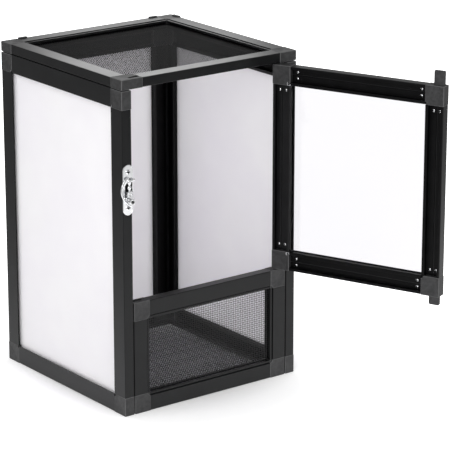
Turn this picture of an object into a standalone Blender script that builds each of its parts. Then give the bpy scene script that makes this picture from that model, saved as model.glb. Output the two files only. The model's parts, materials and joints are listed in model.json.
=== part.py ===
"""A small upright reptile cage: five bar frames joined into a box, and a clear door that hangs open.

Every frame is made alike. Four hollow black bars meet in plastic corner blocks, whose legs fill the
ends of the bars, and a panel sits in the groove along the bars' inner edges: a white sheet in the
sides and the back, black net in the top and the lower front, a clear sheet in the door. The floor is
a net in a slim rim, low between the four walls. The door turns on two pins at its right edge. A bolt
slides out of each of its free corners, and a hook on the left side of the cage turns over the stud
on the door.

The origin is the middle of the lower front frame's underside. X runs right, Y back and Z up.
A frame's own axes are X along its width, Z up its height, and Y inwards from its outer face.
"""

import math

import bmesh
import bpy
import numpy as np
from mathutils import Matrix, Vector

MM = 0.001

# The cage as a whole
CAGE_WIDTH = 290 * MM
CAGE_DEPTH = 290 * MM
CAGE_HEIGHT = 465 * MM
LOWER_HEIGHT = 158 * MM
BOTTOM_LIFT = 2 * MM
SEAM = 0.4 * MM
GAP = 0.3 * MM

# The bar: a hollow section with a channel along its inner face and a groove along its inner edge
BAR_WIDTH = 26 * MM
BAR_DEPTH = 15.5 * MM
LID_DEPTH = 14 * MM
FLOOR_RIM_WIDTH = 7 * MM
FLOOR_RIM_HEIGHT = 5 * MM
FLOOR_GROOVE_REACH = 3 * MM
DOOR_BAR_WIDTH = 27 * MM
WALL = 1.5 * MM
CHANNEL_DEPTH = 4 * MM
FLANGE = 4 * MM
LIP_WIDTH = 3 * MM
LIP_SETBACK = 3 * MM
GROOVE_REACH = 6 * MM

# The corner blocks
LEG_LENGTH = 18 * MM
STRIKE_BLOCK_LENGTH = 34 * MM
HINGE_BLOCK_LENGTH = 28 * MM

# The panels
PANEL_SETBACK = 5 * MM
PANEL_THICKNESS = 3 * MM
NET_THICKNESS = 1 * MM
NET_STRAND = 3 * MM
NET_PITCH = 20 * MM
NET_EDGE_WIDTH = 4 * MM

# The door and its hinge
DOOR_GAP = 1.5 * MM
DOOR_ANGLE = math.radians(112.5)
HINGE_INSET = 6.75 * MM
HINGE_SETBACK = 4 * MM
HINGE_PIN_RADIUS = 1.75 * MM
HINGE_PIN_REACH = 8 * MM
HINGE_COLLAR_RADIUS = 3.4 * MM
HINGE_BORE_PLAY = 0.4 * MM
TURNED_SIDES = 12

# The bolts in the free corners of the door
BOLT_WIDTH = 14 * MM
BOLT_DEPTH = 5.6 * MM
BOLT_INSET = 1.2 * MM
BOLT_FROM_INNER_FACE = 3.1 * MM
UPPER_BOLT_REACH = 20 * MM
LOWER_BOLT_REACH = 12.6 * MM
UPPER_BOLT_HOLD = 5.5 * MM
LOWER_BOLT_HOLD = 8 * MM
STRIKE_PLAY = 0.5 * MM

# The screws that hold the hook's plate
SCREW_HEAD_RADIUS = 3.2 * MM
SCREW_HEAD_RIM = 0.4 * MM
SCREW_HEAD_HEIGHT = 1.4 * MM
SCREW_CROWN_RADIUS = 1.9 * MM
SCREW_RADIUS = 1.2 * MM
SCREW_LENGTH = 6 * MM
SCREW_SIDES = 8

# The hook, on the front edge of the left side frame
PLATE_HEIGHT = 69 * MM
PLATE_WIDTH = 16 * MM
PLATE_THICKNESS = 1.2 * MM
PLATE_MIDDLE = 317 * MM
PLATE_END_STEPS = 8
PLATE_SCREW_INSET = 10 * MM
PIVOT_ABOVE_SCREW = 10.5 * MM
PIVOT_RADIUS = 1.6 * MM
PIVOT_HEAD_RADIUS = 4.2 * MM
PIVOT_HEAD_RIM = 0.8 * MM
PIVOT_HEAD_HEIGHT = 1.6 * MM
PIVOT_CROWN_RADIUS = 2.5 * MM
PIVOT_ANCHOR = 6 * MM
HOOK_THICKNESS = 2 * MM
HOOK_HUB_RADIUS = 5 * MM
HOOK_HUB_FROM = -60
HOOK_HUB_TO = 55
HOOK_HUB_STEPS = 5
HOOK_ARM_WIDTH = 5.4 * MM
HOOK_CLAW_WIDTH = 3.5 * MM
HOOK_CLAW_REACH = 8.6 * MM
HOOK_CLAW_CHAMFER = 1 * MM
BOW_WIDTH = 2.6 * MM
BOW_BULGE = 13 * MM
BOW_BOTTOM = -7 * MM
BOW_STEPS = 12
SPRING_WIRE = 0.9 * MM
SPRING_RADIUS = 3.3 * MM
SPRING_TURNS = 3
SPRING_PITCH = 1.7 * MM
SPRING_POINTS = 9

# The stud on the door's free stile that the hook's claw turns over
STUD_DROP = 5.6 * MM
STUD_NECK_RADIUS = 1.8 * MM
STUD_HEAD_RADIUS = 4.4 * MM
STUD_CROWN_RADIUS = 3.5 * MM
STUD_HEAD_HEIGHT = 1.6 * MM
STUD_REACH = 8 * MM
STUD_ANCHOR = 5 * MM
STUD_PLAY = 1.2 * MM

# What follows from the dimensions above
FRONT_Y = -BAR_DEPTH / 2
BACK_Y = FRONT_Y + CAGE_DEPTH
LID_UNDERSIDE = CAGE_HEIGHT - LID_DEPTH
SIDE_HEIGHT = LID_UNDERSIDE - SEAM
INNER_WIDTH = CAGE_WIDTH - 2 * (BAR_DEPTH + SEAM)
GROOVE_START = PANEL_SETBACK - GAP
GROOVE_END = PANEL_SETBACK + PANEL_THICKNESS + GAP
DOOR_WIDTH = CAGE_WIDTH - 2 * (BAR_DEPTH + DOOR_GAP)
DOOR_BOTTOM = LOWER_HEIGHT + DOOR_GAP
DOOR_HEIGHT = LID_UNDERSIDE - DOOR_GAP - DOOR_BOTTOM
DOOR_LEFT = -DOOR_WIDTH / 2
HINGE_X = DOOR_LEFT + DOOR_WIDTH - HINGE_INSET
HINGE_Y = FRONT_Y + HINGE_SETBACK
BOLT_NEAR_Y = BAR_DEPTH - BOLT_FROM_INNER_FACE - BOLT_DEPTH
PIVOT_X = -CAGE_WIDTH / 2 + BAR_DEPTH / 2
SCREW_OFFSET = PLATE_HEIGHT / 2 - PLATE_SCREW_INSET
PIVOT_HEIGHT = PLATE_MIDDLE - SCREW_OFFSET + PIVOT_ABOVE_SCREW
HOOK_BACK_Y = FRONT_Y - GAP - PLATE_THICKNESS - GAP
STUD_FROM_EDGE = DOOR_BAR_WIDTH / 2
STUD_HEIGHT = PIVOT_HEIGHT - STUD_DROP
HOOK_CLAW_START = (DOOR_LEFT + STUD_FROM_EDGE) - PIVOT_X + STUD_NECK_RADIUS + STUD_PLAY

# The corners of a frame, each (right, upper)
CORNERS = [(False, False), (True, False), (False, True), (True, True)]


def clear_scene():
    for obj in list(bpy.data.objects):
        bpy.data.objects.remove(obj)


def make_material(name, colour, roughness, metallic=0.0, transmission=0.0):
    material = bpy.data.materials.new(name)
    material.use_nodes = True
    shader = material.node_tree.nodes["Principled BSDF"]
    shader.inputs["Base Color"].default_value = (*colour, 1.0)
    shader.inputs["Roughness"].default_value = roughness
    shader.inputs["Metallic"].default_value = metallic
    shader.inputs["Transmission Weight"].default_value = transmission
    return material


def make_materials():
    return {
        "bar": make_material("black_anodised_aluminium", (0.024, 0.024, 0.025), 0.34, metallic=0.6),
        "block": make_material("black_moulded_plastic", (0.045, 0.045, 0.046), 0.5),
        "sheet": make_material("white_rigid_pvc", (0.85, 0.84, 0.88), 0.35),
        "clear": make_material("clear_acrylic", (0.95, 0.96, 0.96), 0.05, transmission=1.0),
        "net": make_material("black_coated_net", (0.012, 0.012, 0.012), 0.5),
        "chrome": make_material("chromed_steel", (0.75, 0.75, 0.76), 0.12, metallic=1.0),
        "steel": make_material("zinc_plated_steel", (0.6, 0.6, 0.62), 0.28, metallic=1.0),
    }


def add_object(name, mesh, material, parent=None):
    obj = bpy.data.objects.new(name, mesh)
    obj.data.materials.append(material)
    bpy.context.scene.collection.objects.link(obj)
    obj.parent = parent
    return obj


def add_empty(name, location, rotation=(0.0, 0.0, 0.0), parent=None):
    empty = bpy.data.objects.new(name, None)
    empty.location = location
    empty.rotation_euler = rotation
    empty.parent = parent
    bpy.context.scene.collection.objects.link(empty)
    return empty


def mesh_of(bm, name):
    mesh = bpy.data.meshes.new(name)
    bm.to_mesh(mesh)
    bm.free()
    return mesh


def box(x, y, z):
    """The low and high corners of a box, from a pair of ends in any order along each axis."""
    return (min(x), min(y), min(z)), (max(x), max(y), max(z))


def block_mesh(name, steps, keep_cells=False):
    """A closed solid from boxes that are added and cut in turn, each step ("add" or "cut", box).

    The boxes' faces divide space into cells. A face is laid wherever a filled cell meets an empty
    one, and flat neighbours are then dissolved into one face, unless keep_cells asks for the cells.
    """
    corners = np.array([step[1] for step in steps]).round(7)
    edges = [np.unique(corners[:, :, axis]) for axis in range(3)]
    middles = np.meshgrid(*[(edge[1:] + edge[:-1]) / 2 for edge in edges], indexing="ij")
    filled = np.zeros(middles[0].shape, bool)
    for (kind, _), (low, high) in zip(steps, corners):
        inside = np.all([(middles[a] > low[a]) & (middles[a] < high[a]) for a in range(3)], axis=0)
        filled[inside] = kind == "add"
    padded = np.pad(filled, 1)
    bm = bmesh.new()
    corner_vertex = {}

    def vertex(index):
        if index not in corner_vertex:
            corner_vertex[index] = bm.verts.new([edges[a][index[a]] for a in range(3)])
        return corner_vertex[index]

    for axis in range(3):
        before = np.moveaxis(padded, axis, 0)[:-1, 1:-1, 1:-1]
        after = np.moveaxis(padded, axis, 0)[1:, 1:-1, 1:-1]
        for plane, i, j in np.argwhere(before != after):
            ring = [(i, j), (i + 1, j), (i + 1, j + 1), (i, j + 1)]
            if before[plane, i, j] == (axis == 1):
                ring.reverse()
            bm.faces.new([vertex(tuple(np.insert(pair, axis, plane))) for pair in ring])
    if not keep_cells:
        bmesh.ops.dissolve_limit(bm, angle_limit=math.radians(1), verts=bm.verts, edges=bm.edges)
    return mesh_of(bm, name)


def turned_solid(bm, profile, sides, matrix):
    """Adds a turned body. Profile points are (radius, height along +Z), and both ends are on the axis."""
    rings = []
    for radius, height in profile:
        if radius == 0:
            rings.append([bm.verts.new(matrix @ Vector((0, 0, height)))])
            continue
        angles = [2 * math.pi * k / sides for k in range(sides)]
        points = [Vector((radius * math.cos(a), radius * math.sin(a), height)) for a in angles]
        rings.append([bm.verts.new(matrix @ point) for point in points])
    made = []
    for lower, upper in zip(rings, rings[1:]):
        for k in range(sides):
            following = (k + 1) % sides
            if len(lower) == 1:
                corner = (lower[0], upper[k], upper[following])
            elif len(upper) == 1:
                corner = (lower[k], upper[0], lower[following])
            else:
                corner = (lower[k], upper[k], upper[following], lower[following])
            made.append(bm.faces.new(corner))
    bmesh.ops.recalc_face_normals(bm, faces=made)


def turned_mesh(name, profile, matrix):
    bm = bmesh.new()
    turned_solid(bm, profile, TURNED_SIDES, matrix)
    return mesh_of(bm, name)


def smooth(obj):
    obj.data.shade_smooth()
    obj.data.set_sharp_from_angle(angle=math.radians(35))


def along(point, direction):
    """The matrix that puts +Z on a direction, at a point."""
    turn = Vector((0, 0, 1)).rotation_difference(Vector(direction))
    return Matrix.Translation(point) @ turn.to_matrix().to_4x4()


def rod(radius, start, end):
    return [(0, start), (radius, start), (radius, end), (0, end)]


class Bores:
    """The round holes to be cut in each node, gathered in world coordinates and cut at the end."""

    def __init__(self):
        self.holes = {}

    def drill(self, node, matrix, radius, start, end, sides):
        self.holes.setdefault(node, []).append((matrix.copy(), rod(radius, start, end), sides))

    def cut(self):
        for node, holes in self.holes.items():
            bm = bmesh.new()
            for matrix, profile, sides in holes:
                turned_solid(bm, profile, sides, matrix)
            cutter = bpy.data.objects.new(f"{node}_bores", mesh_of(bm, f"{node}_bores"))
            cutter.hide_render = True
            cutter.display_type = "WIRE"
            bpy.context.scene.collection.objects.link(cutter)
            modifier = bpy.data.objects[node].modifiers.new("bores", "BOOLEAN")
            modifier.operation = "DIFFERENCE"
            modifier.object = cutter


class Frame:
    """One frame of four bars and four corner blocks around a panel."""

    def __init__(self, parent, materials, width, height, depth, bar=BAR_WIDTH, corner_lengths=None):
        self.parent = parent
        self.materials = materials
        self.width = width
        self.height = height
        self.depth = depth
        self.bar = bar
        self.corner_lengths = corner_lengths or {}
        self.floor = depth - CHANNEL_DEPTH
        self.hollow_y = (WALL, self.floor - WALL)
        self.hollow_u = (WALL, bar - GROOVE_REACH - WALL)

    def corner_length(self, right, upper):
        """How far a corner block reaches along the frame's width."""
        return self.corner_lengths.get((right, upper), self.bar)

    def from_edge(self, u, far, size):
        """A distance in from an outer edge, as a place along the frame's width or height."""
        return size - u if far else u

    def bar_steps(self, stretch):
        """The bar's section as boxes in (u, y), where stretch turns each into a box in space."""
        inner = self.bar
        return [
            ("add", stretch((0, inner), (0, self.depth))),
            ("cut", stretch((inner - LIP_WIDTH, inner), (0, LIP_SETBACK))),
            ("cut", stretch((inner - GROOVE_REACH, inner), (GROOVE_START, GROOVE_END))),
            ("cut", stretch((FLANGE, inner - FLANGE), (self.floor, self.depth))),
            ("cut", stretch(self.hollow_u, self.hollow_y)),
        ]

    def rail(self, name, upper):
        """A bar across the width, between the corner blocks."""
        start = self.corner_length(False, upper) + GAP
        end = self.width - self.corner_length(True, upper) - GAP

        def stretch(u, y):
            return box((start, end), y, [self.from_edge(value, upper, self.height) for value in u])

        mesh = block_mesh(name, self.bar_steps(stretch))
        return add_object(name, mesh, self.materials["bar"], self.parent)

    def stile(self, name, right):
        """A bar up the height, between the corner blocks."""
        start = self.bar + GAP
        end = self.height - self.bar - GAP

        def stretch(u, y):
            return box([self.from_edge(value, right, self.width) for value in u], y, (start, end))

        mesh = block_mesh(name, self.bar_steps(stretch))
        return add_object(name, mesh, self.materials["bar"], self.parent)

    def rails(self, lower, upper):
        self.rail(lower, False)
        self.rail(upper, True)

    def bars(self, lower, upper, left, right):
        self.rails(lower, upper)
        self.stile(left, False)
        self.stile(right, True)

    def block_steps(self, right, upper):
        """A corner block and its two legs, which run up the hollows of the bars that meet there."""
        length = self.corner_length(right, upper)
        leg_u = (self.hollow_u[0] + GAP, self.hollow_u[1] - GAP)
        leg_y = (self.hollow_y[0] + GAP, self.hollow_y[1] - GAP)

        def x_ends(near, far):
            return [self.from_edge(value, right, self.width) for value in (near, far)]

        def z_ends(near, far):
            return [self.from_edge(value, upper, self.height) for value in (near, far)]

        return [
            ("add", box(x_ends(0, length), (0, self.depth), z_ends(0, self.bar))),
            ("add", box(x_ends(length, length + LEG_LENGTH), leg_y, z_ends(*leg_u))),
            ("add", box(x_ends(*leg_u), leg_y, z_ends(self.bar, self.bar + LEG_LENGTH))),
        ]

    def panel_box(self, thickness, clearance=0.0):
        reach = self.bar - GROOVE_REACH + GAP - clearance
        return box(
            (reach, self.width - reach),
            (PANEL_SETBACK - clearance, PANEL_SETBACK + thickness + clearance),
            (reach, self.height - reach),
        )

    def panel_slot(self):
        """The slot in the corner blocks that takes the panel's corners."""
        return ("cut", self.panel_box(PANEL_THICKNESS, clearance=GAP))

    def block(self, name, right, upper, cuts=()):
        """One corner block with its two legs."""
        steps = self.block_steps(right, upper)
        steps.append(self.panel_slot())
        steps.extend(("cut", cut) for cut in cuts)
        return add_object(name, block_mesh(name, steps), self.materials["block"], self.parent)

    def solid_stile_steps(self, right):
        """A stile without its hollow, as long as the space between the two corner blocks."""
        ends = (self.bar, self.height - self.bar)

        def stretch(u, y):
            return box([self.from_edge(value, right, self.width) for value in u], y, ends)

        return self.bar_steps(stretch)[:-1]

    def blocked_stile(self, name, right):
        """A stile made in one with the blocks at its ends, whose legs still carry the rails."""
        steps = self.solid_stile_steps(right)
        steps.extend(self.block_steps(right, False))
        steps.extend(self.block_steps(right, True))
        steps.append(self.panel_slot())
        return add_object(name, block_mesh(name, steps), self.materials["bar"], self.parent)

    def sheet(self, name, material):
        mesh = block_mesh(name, [("add", self.panel_box(PANEL_THICKNESS))])
        return add_object(name, mesh, self.materials[material], self.parent)

    def net(self, name):
        """A flat net whose gaps fill the opening, with a bound edge that fills the bars' groove."""
        low, high = self.panel_box(PANEL_THICKNESS)
        edge = NET_EDGE_WIDTH
        well = box(
            (low[0] + edge, high[0] - edge),
            (PANEL_SETBACK + NET_THICKNESS, high[1]),
            (low[2] + edge, high[2] - edge),
        )
        steps = [("add", (low, high)), ("cut", well)]
        y = (PANEL_SETBACK, PANEL_SETBACK + NET_THICKNESS)
        columns = gap_ends(self.bar, self.width - self.bar)
        rows = gap_ends(self.bar, self.height - self.bar)
        steps.extend(("cut", box(column, y, row)) for column in columns for row in rows)
        mesh = block_mesh(name, steps, keep_cells=True)
        return add_object(name, mesh, self.materials["net"], self.parent)


def gap_ends(start, end):
    """Where a net's gaps begin and end, from one side of its opening to the other."""
    count = round((end - start) / NET_PITCH)
    pitch = (end - start + NET_STRAND) / count
    starts = [start + k * pitch for k in range(count)]
    return [(value, value + pitch - NET_STRAND) for value in starts]


def side_frames(materials):
    """The left, right and back frames, with white sheets."""
    quarter = math.pi / 2
    left = add_empty("left_frame", (-CAGE_WIDTH / 2, BACK_Y, 0), (0, 0, -quarter))
    frame = Frame(left, materials, CAGE_DEPTH, SIDE_HEIGHT, BAR_DEPTH)
    frame.bars("left_bottom_rail", "left_top_rail", "left_back_stile", "left_front_stile")
    for name, corner in zip(("back_bottom", "front_bottom", "back_top", "front_top"), CORNERS):
        frame.block(f"left_{name}_block", *corner)
    frame.sheet("left_sheet", "sheet")

    right = add_empty("right_frame", (CAGE_WIDTH / 2, FRONT_Y, 0), (0, 0, quarter))
    frame = Frame(right, materials, CAGE_DEPTH, SIDE_HEIGHT, BAR_DEPTH)
    frame.rails("right_bottom_rail", "right_top_rail")
    frame.blocked_stile("right_front_stile", False)
    frame.blocked_stile("right_back_stile", True)
    frame.sheet("right_sheet", "sheet")

    back = add_empty("back_frame", (INNER_WIDTH / 2, BACK_Y, 0), (0, 0, 2 * quarter))
    frame = Frame(back, materials, INNER_WIDTH, SIDE_HEIGHT, BAR_DEPTH)
    frame.rails("back_bottom_rail", "back_top_rail")
    frame.blocked_stile("back_right_stile", False)
    frame.blocked_stile("back_left_stile", True)
    frame.sheet("back_sheet", "sheet")


def bolt_box(play, low, high):
    """The bolt's section in the door's own axes, grown by a play on each side, between two heights."""
    x = (BOLT_INSET - play, BOLT_INSET + BOLT_WIDTH + play)
    y = (BOLT_NEAR_Y - play, BOLT_NEAR_Y + BOLT_DEPTH + play)
    return box(x, y, (low, high))


def strike_cut(low, high, frame_left):
    """Where a bolt of the closed door passes, in the axes of a frame whose left edge is given."""
    (x0, y0, _), (x1, y1, _) = bolt_box(STRIKE_PLAY, 0, 0)
    shift = DOOR_LEFT - frame_left
    return box((x0 + shift, x1 + shift), (y0, y1), (low, high))


def net_frames(materials):
    """The lid and the lower front frame, with black nets."""
    quarter = math.pi / 2
    lid = add_empty("lid_frame", (-CAGE_WIDTH / 2, FRONT_Y, CAGE_HEIGHT), (-quarter, 0, 0))
    lengths = {(False, False): STRIKE_BLOCK_LENGTH, (True, False): HINGE_BLOCK_LENGTH}
    frame = Frame(lid, materials, CAGE_WIDTH, CAGE_DEPTH, LID_DEPTH, corner_lengths=lengths)
    frame.bars("lid_front_rail", "lid_back_rail", "lid_left_rail", "lid_right_rail")
    (x0, z0, _), (x1, z1, _) = strike_cut(0, 0, -CAGE_WIDTH / 2)
    slot = box((x0, x1), (0, LID_DEPTH), (z0, z1))
    frame.block("lid_front_left_block", False, False, cuts=[slot])
    frame.block("lid_front_right_block", True, False)
    frame.block("lid_back_left_block", False, True)
    frame.block("lid_back_right_block", True, True)
    frame.net("lid_net")

    lower = add_empty("lower_front_frame", (-INNER_WIDTH / 2, FRONT_Y, 0))
    frame = Frame(lower, materials, INNER_WIDTH, LOWER_HEIGHT, BAR_DEPTH)
    frame.bars("lower_bottom_rail", "lower_top_rail", "lower_left_stile", "lower_right_stile")
    depth = LOWER_BOLT_REACH - DOOR_GAP + STRIKE_PLAY
    pocket = strike_cut(LOWER_HEIGHT - depth, LOWER_HEIGHT, -INNER_WIDTH / 2)
    frame.block("lower_bottom_left_block", False, False)
    frame.block("lower_bottom_right_block", True, False)
    frame.block("lower_top_left_block", False, True, cuts=[pocket])
    frame.block("lower_top_right_block", True, True)
    frame.net("lower_net")


def inset_span(span, inset):
    return (span[0] + inset, span[1] - inset)


def floor_panel(materials):
    """The bottom: a slim rim between the four walls, with a net in its groove."""
    x = (-INNER_WIDTH / 2, INNER_WIDTH / 2)
    y = inset_span((FRONT_Y, BACK_Y), BAR_DEPTH + SEAM)
    z = (BOTTOM_LIFT, BOTTOM_LIFT + FLOOR_RIM_HEIGHT)
    net_z = inset_span(z, (FLOOR_RIM_HEIGHT - NET_THICKNESS) / 2)
    opening = [inset_span(span, FLOOR_RIM_WIDTH) for span in (x, y)]
    groove = [inset_span(span, -FLOOR_GROOVE_REACH) for span in opening]
    steps = [
        ("add", box(x, y, z)),
        ("cut", box(*opening, z)),
        ("cut", box(*groove, inset_span(net_z, -GAP))),
    ]
    add_object("floor_ring", block_mesh("floor_ring", steps), materials["bar"])

    edge = [inset_span(span, GAP) for span in groove]
    steps = [("add", box(*edge, net_z))]
    columns, rows = (gap_ends(*span) for span in opening)
    steps.extend(("cut", box(column, row, net_z)) for column in columns for row in rows)
    mesh = block_mesh("floor_net", steps, keep_cells=True)
    add_object("floor_net", mesh, materials["net"])


def door(materials, bores):
    """The door, open at its rest angle. Its meshes are drawn closed, in the axes of the hinge empty."""
    hinge = add_empty("door_hinge", (HINGE_X, HINGE_Y, DOOR_BOTTOM), (0, 0, DOOR_ANGLE))
    inner = add_empty("door_frame", (DOOR_LEFT - HINGE_X, -HINGE_SETBACK, 0), parent=hinge)
    frame = Frame(inner, materials, DOOR_WIDTH, DOOR_HEIGHT, BAR_DEPTH, bar=DOOR_BAR_WIDTH)
    frame.bars("door_bottom_rail", "door_top_rail", "door_free_stile", "door_hinge_stile")
    upper_guide = bolt_box(GAP, DOOR_HEIGHT - UPPER_BOLT_REACH - UPPER_BOLT_HOLD - GAP, DOOR_HEIGHT)
    lower_guide = bolt_box(GAP, 0, LOWER_BOLT_REACH + LOWER_BOLT_HOLD + GAP)
    frame.block("door_lower_free_block", False, False, cuts=[lower_guide])
    frame.block("door_lower_hinge_block", True, False)
    frame.block("door_upper_free_block", False, True, cuts=[upper_guide])
    frame.block("door_upper_hinge_block", True, True)
    frame.sheet("door_clear_sheet", "clear")

    upper_ends = (DOOR_HEIGHT - UPPER_BOLT_HOLD, DOOR_HEIGHT + UPPER_BOLT_REACH)
    lower_ends = (-LOWER_BOLT_REACH, LOWER_BOLT_HOLD)
    for name, ends in (("door_upper_bolt", upper_ends), ("door_lower_bolt", lower_ends)):
        mesh = block_mesh(name, [("add", bolt_box(0, *ends))])
        add_object(name, mesh, materials["block"], inner)

    bpy.context.view_layer.update()
    hinge_pins(materials, bores)
    hook_stud(inner, materials, bores)


def hinge_pins(materials, bores):
    """A collared pin above and below the door, fast in the cage and running in the door's blocks."""
    collar = DOOR_GAP / 2 - GAP
    profile = [
        (0, -HINGE_PIN_REACH),
        (HINGE_PIN_RADIUS, -HINGE_PIN_REACH),
        (HINGE_PIN_RADIUS, -collar),
        (HINGE_COLLAR_RADIUS, -collar),
        (HINGE_COLLAR_RADIUS, collar),
        (HINGE_PIN_RADIUS, collar),
        (HINGE_PIN_RADIUS, HINGE_PIN_REACH),
        (0, HINGE_PIN_REACH),
    ]
    radius = HINGE_PIN_RADIUS + HINGE_BORE_PLAY
    reach = HINGE_PIN_REACH + GAP
    heights = {"upper": LID_UNDERSIDE - DOOR_GAP / 2, "lower": LOWER_HEIGHT + DOOR_GAP / 2}
    cage_nodes = {"upper": "lid_front_right_block", "lower": "lower_top_right_block"}
    for end, height in heights.items():
        matrix = Matrix.Translation((HINGE_X, HINGE_Y, height))
        name = f"{end}_hinge_pin"
        smooth(add_object(name, turned_mesh(name, profile, matrix), materials["chrome"]))
        for node in (cage_nodes[end], f"door_{end}_hinge_block"):
            bores.drill(node, matrix, radius, -reach, reach, TURNED_SIDES)


def hook_stud(inner, materials, bores):
    """The mushroom stud in the outer wall of the free stile, which the hook holds."""
    profile = [
        (0, -STUD_ANCHOR),
        (STUD_NECK_RADIUS, -STUD_ANCHOR),
        (STUD_NECK_RADIUS, STUD_REACH - STUD_HEAD_HEIGHT),
        (STUD_HEAD_RADIUS, STUD_REACH - STUD_HEAD_HEIGHT),
        (STUD_CROWN_RADIUS, STUD_REACH),
        (0, STUD_REACH),
    ]
    place = along((STUD_FROM_EDGE, 0, STUD_HEIGHT - DOOR_BOTTOM), (0, -1, 0))
    mesh = turned_mesh("door_stud", profile, place)
    smooth(add_object("door_stud", mesh, materials["chrome"], inner))
    world = inner.matrix_world @ place
    reach = STUD_ANCHOR + GAP
    bores.drill("door_free_stile", world, STUD_NECK_RADIUS + GAP, -reach, GAP, TURNED_SIDES)


def flat_solid(name, loops, thickness):
    """An outline and its holes, loops of (x, z) points in the plane y = 0, made thick towards +Y."""
    bm = bmesh.new()
    edges = []
    for loop in loops:
        corners = [bm.verts.new((x, 0, z)) for x, z in loop]
        edges.extend(bm.edges.new(pair) for pair in zip(corners, corners[1:] + corners[:1]))
    bmesh.ops.triangle_fill(bm, use_beauty=True, edges=edges)
    made = bmesh.ops.extrude_face_region(bm, geom=bm.faces[:])["geom"]
    moved = [item for item in made if isinstance(item, bmesh.types.BMVert)]
    bmesh.ops.translate(bm, verts=moved, vec=(0, thickness, 0))
    bmesh.ops.recalc_face_normals(bm, faces=bm.faces)
    return mesh_of(bm, name)


def arc(centre, radius, start, end, steps):
    """Points on a circle in (x, z), between two angles in degrees."""
    angles = np.radians(np.linspace(start, end, steps + 1))
    return [(centre[0] + radius * math.cos(a), centre[1] + radius * math.sin(a)) for a in angles]


def hook_outline():
    """The unlatched hook's outer edge: hub at the origin, arm up, claw to the right, bow to the left."""
    half_arm = HOOK_ARM_WIDTH / 2
    top = HOOK_CLAW_START + HOOK_CLAW_WIDTH
    outline = arc((0, 0), HOOK_HUB_RADIUS, HOOK_HUB_FROM, HOOK_HUB_TO, HOOK_HUB_STEPS)
    outline.append((half_arm, HOOK_HUB_RADIUS))
    outline.append((half_arm, HOOK_CLAW_START))
    outline.append((HOOK_CLAW_REACH - HOOK_CLAW_CHAMFER, HOOK_CLAW_START))
    outline.append((HOOK_CLAW_REACH, HOOK_CLAW_START + HOOK_CLAW_CHAMFER))
    outline.append((HOOK_CLAW_REACH, top))
    outline.append((-half_arm, top))
    outline.extend(bow_edge(0))
    return outline


def bow_edge(inset):
    """The bow's edge, at an inset from its outer one, down from the arm's top to below the hub.

    It is the left half of an ellipse whose flat side is the arm's left edge.
    """
    top = HOOK_CLAW_START + HOOK_CLAW_WIDTH
    middle = (top + BOW_BOTTOM) / 2
    half_height = (top - BOW_BOTTOM) / 2 - inset
    start_x = -HOOK_ARM_WIDTH / 2
    half_width = BOW_BULGE + start_x - inset
    points = []
    for k in range(BOW_STEPS + 1):
        angle = math.pi / 2 + math.pi * k / BOW_STEPS
        points.append((start_x + half_width * math.cos(angle), middle + half_height * math.sin(angle)))
    return points


def finger_loop():
    """The hole between the bow, the arm and the hub."""
    edge = [point for point in bow_edge(BOW_WIDTH) if math.hypot(*point) > HOOK_HUB_RADIUS]
    start = math.degrees(math.atan2(edge[-1][1], edge[-1][0])) % 360
    end = 180 - math.degrees(math.acos(HOOK_ARM_WIDTH / 2 / HOOK_HUB_RADIUS))
    return edge + arc((0, 0), HOOK_HUB_RADIUS, start, end, HOOK_HUB_STEPS)


def hook(materials, bores):
    """The plate, its screws, the turning hook, its pivot and the spring that presses on it."""
    plate_y = FRONT_Y - GAP - PLATE_THICKNESS
    plate_root = add_empty("hook_plate_place", (PIVOT_X, plate_y, PLATE_MIDDLE))
    radius = PLATE_WIDTH / 2
    straight = PLATE_HEIGHT / 2 - radius
    outline = arc((0, straight), radius, 0, 180, PLATE_END_STEPS)
    outline.extend(arc((0, -straight), radius, 180, 360, PLATE_END_STEPS))
    plate_mesh = flat_solid("hook_plate", [outline], PLATE_THICKNESS)
    add_object("hook_plate", plate_mesh, materials["chrome"], plate_root)

    seat = PLATE_THICKNESS + 2 * GAP
    profile = [
        (0, seat + SCREW_HEAD_HEIGHT),
        (SCREW_CROWN_RADIUS, seat + SCREW_HEAD_HEIGHT),
        (SCREW_HEAD_RADIUS, seat + SCREW_HEAD_RIM),
        (SCREW_HEAD_RADIUS, seat),
        (SCREW_RADIUS, seat),
        (SCREW_RADIUS, seat - SCREW_LENGTH),
        (0, seat - SCREW_LENGTH),
    ]
    forward = (0, -1, 0)
    for side, end in ((-1, "lower"), (1, "upper")):
        place = along((PIVOT_X, FRONT_Y, PLATE_MIDDLE + side * SCREW_OFFSET), forward)
        name = f"{end}_plate_screw"
        smooth(add_object(name, turned_mesh(name, profile, place), materials["steel"]))
        for node in ("hook_plate", "left_front_stile"):
            bores.drill(node, place, SCREW_RADIUS + GAP, seat - SCREW_LENGTH, seat, SCREW_SIDES)

    pivot = add_empty("hook_pivot_place", (PIVOT_X, HOOK_BACK_Y - HOOK_THICKNESS, PIVOT_HEIGHT))
    hook_mesh = flat_solid("turn_hook", [hook_outline(), finger_loop()], HOOK_THICKNESS)
    add_object("turn_hook", hook_mesh, materials["chrome"], pivot)
    hook_pivot(materials, bores)


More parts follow.
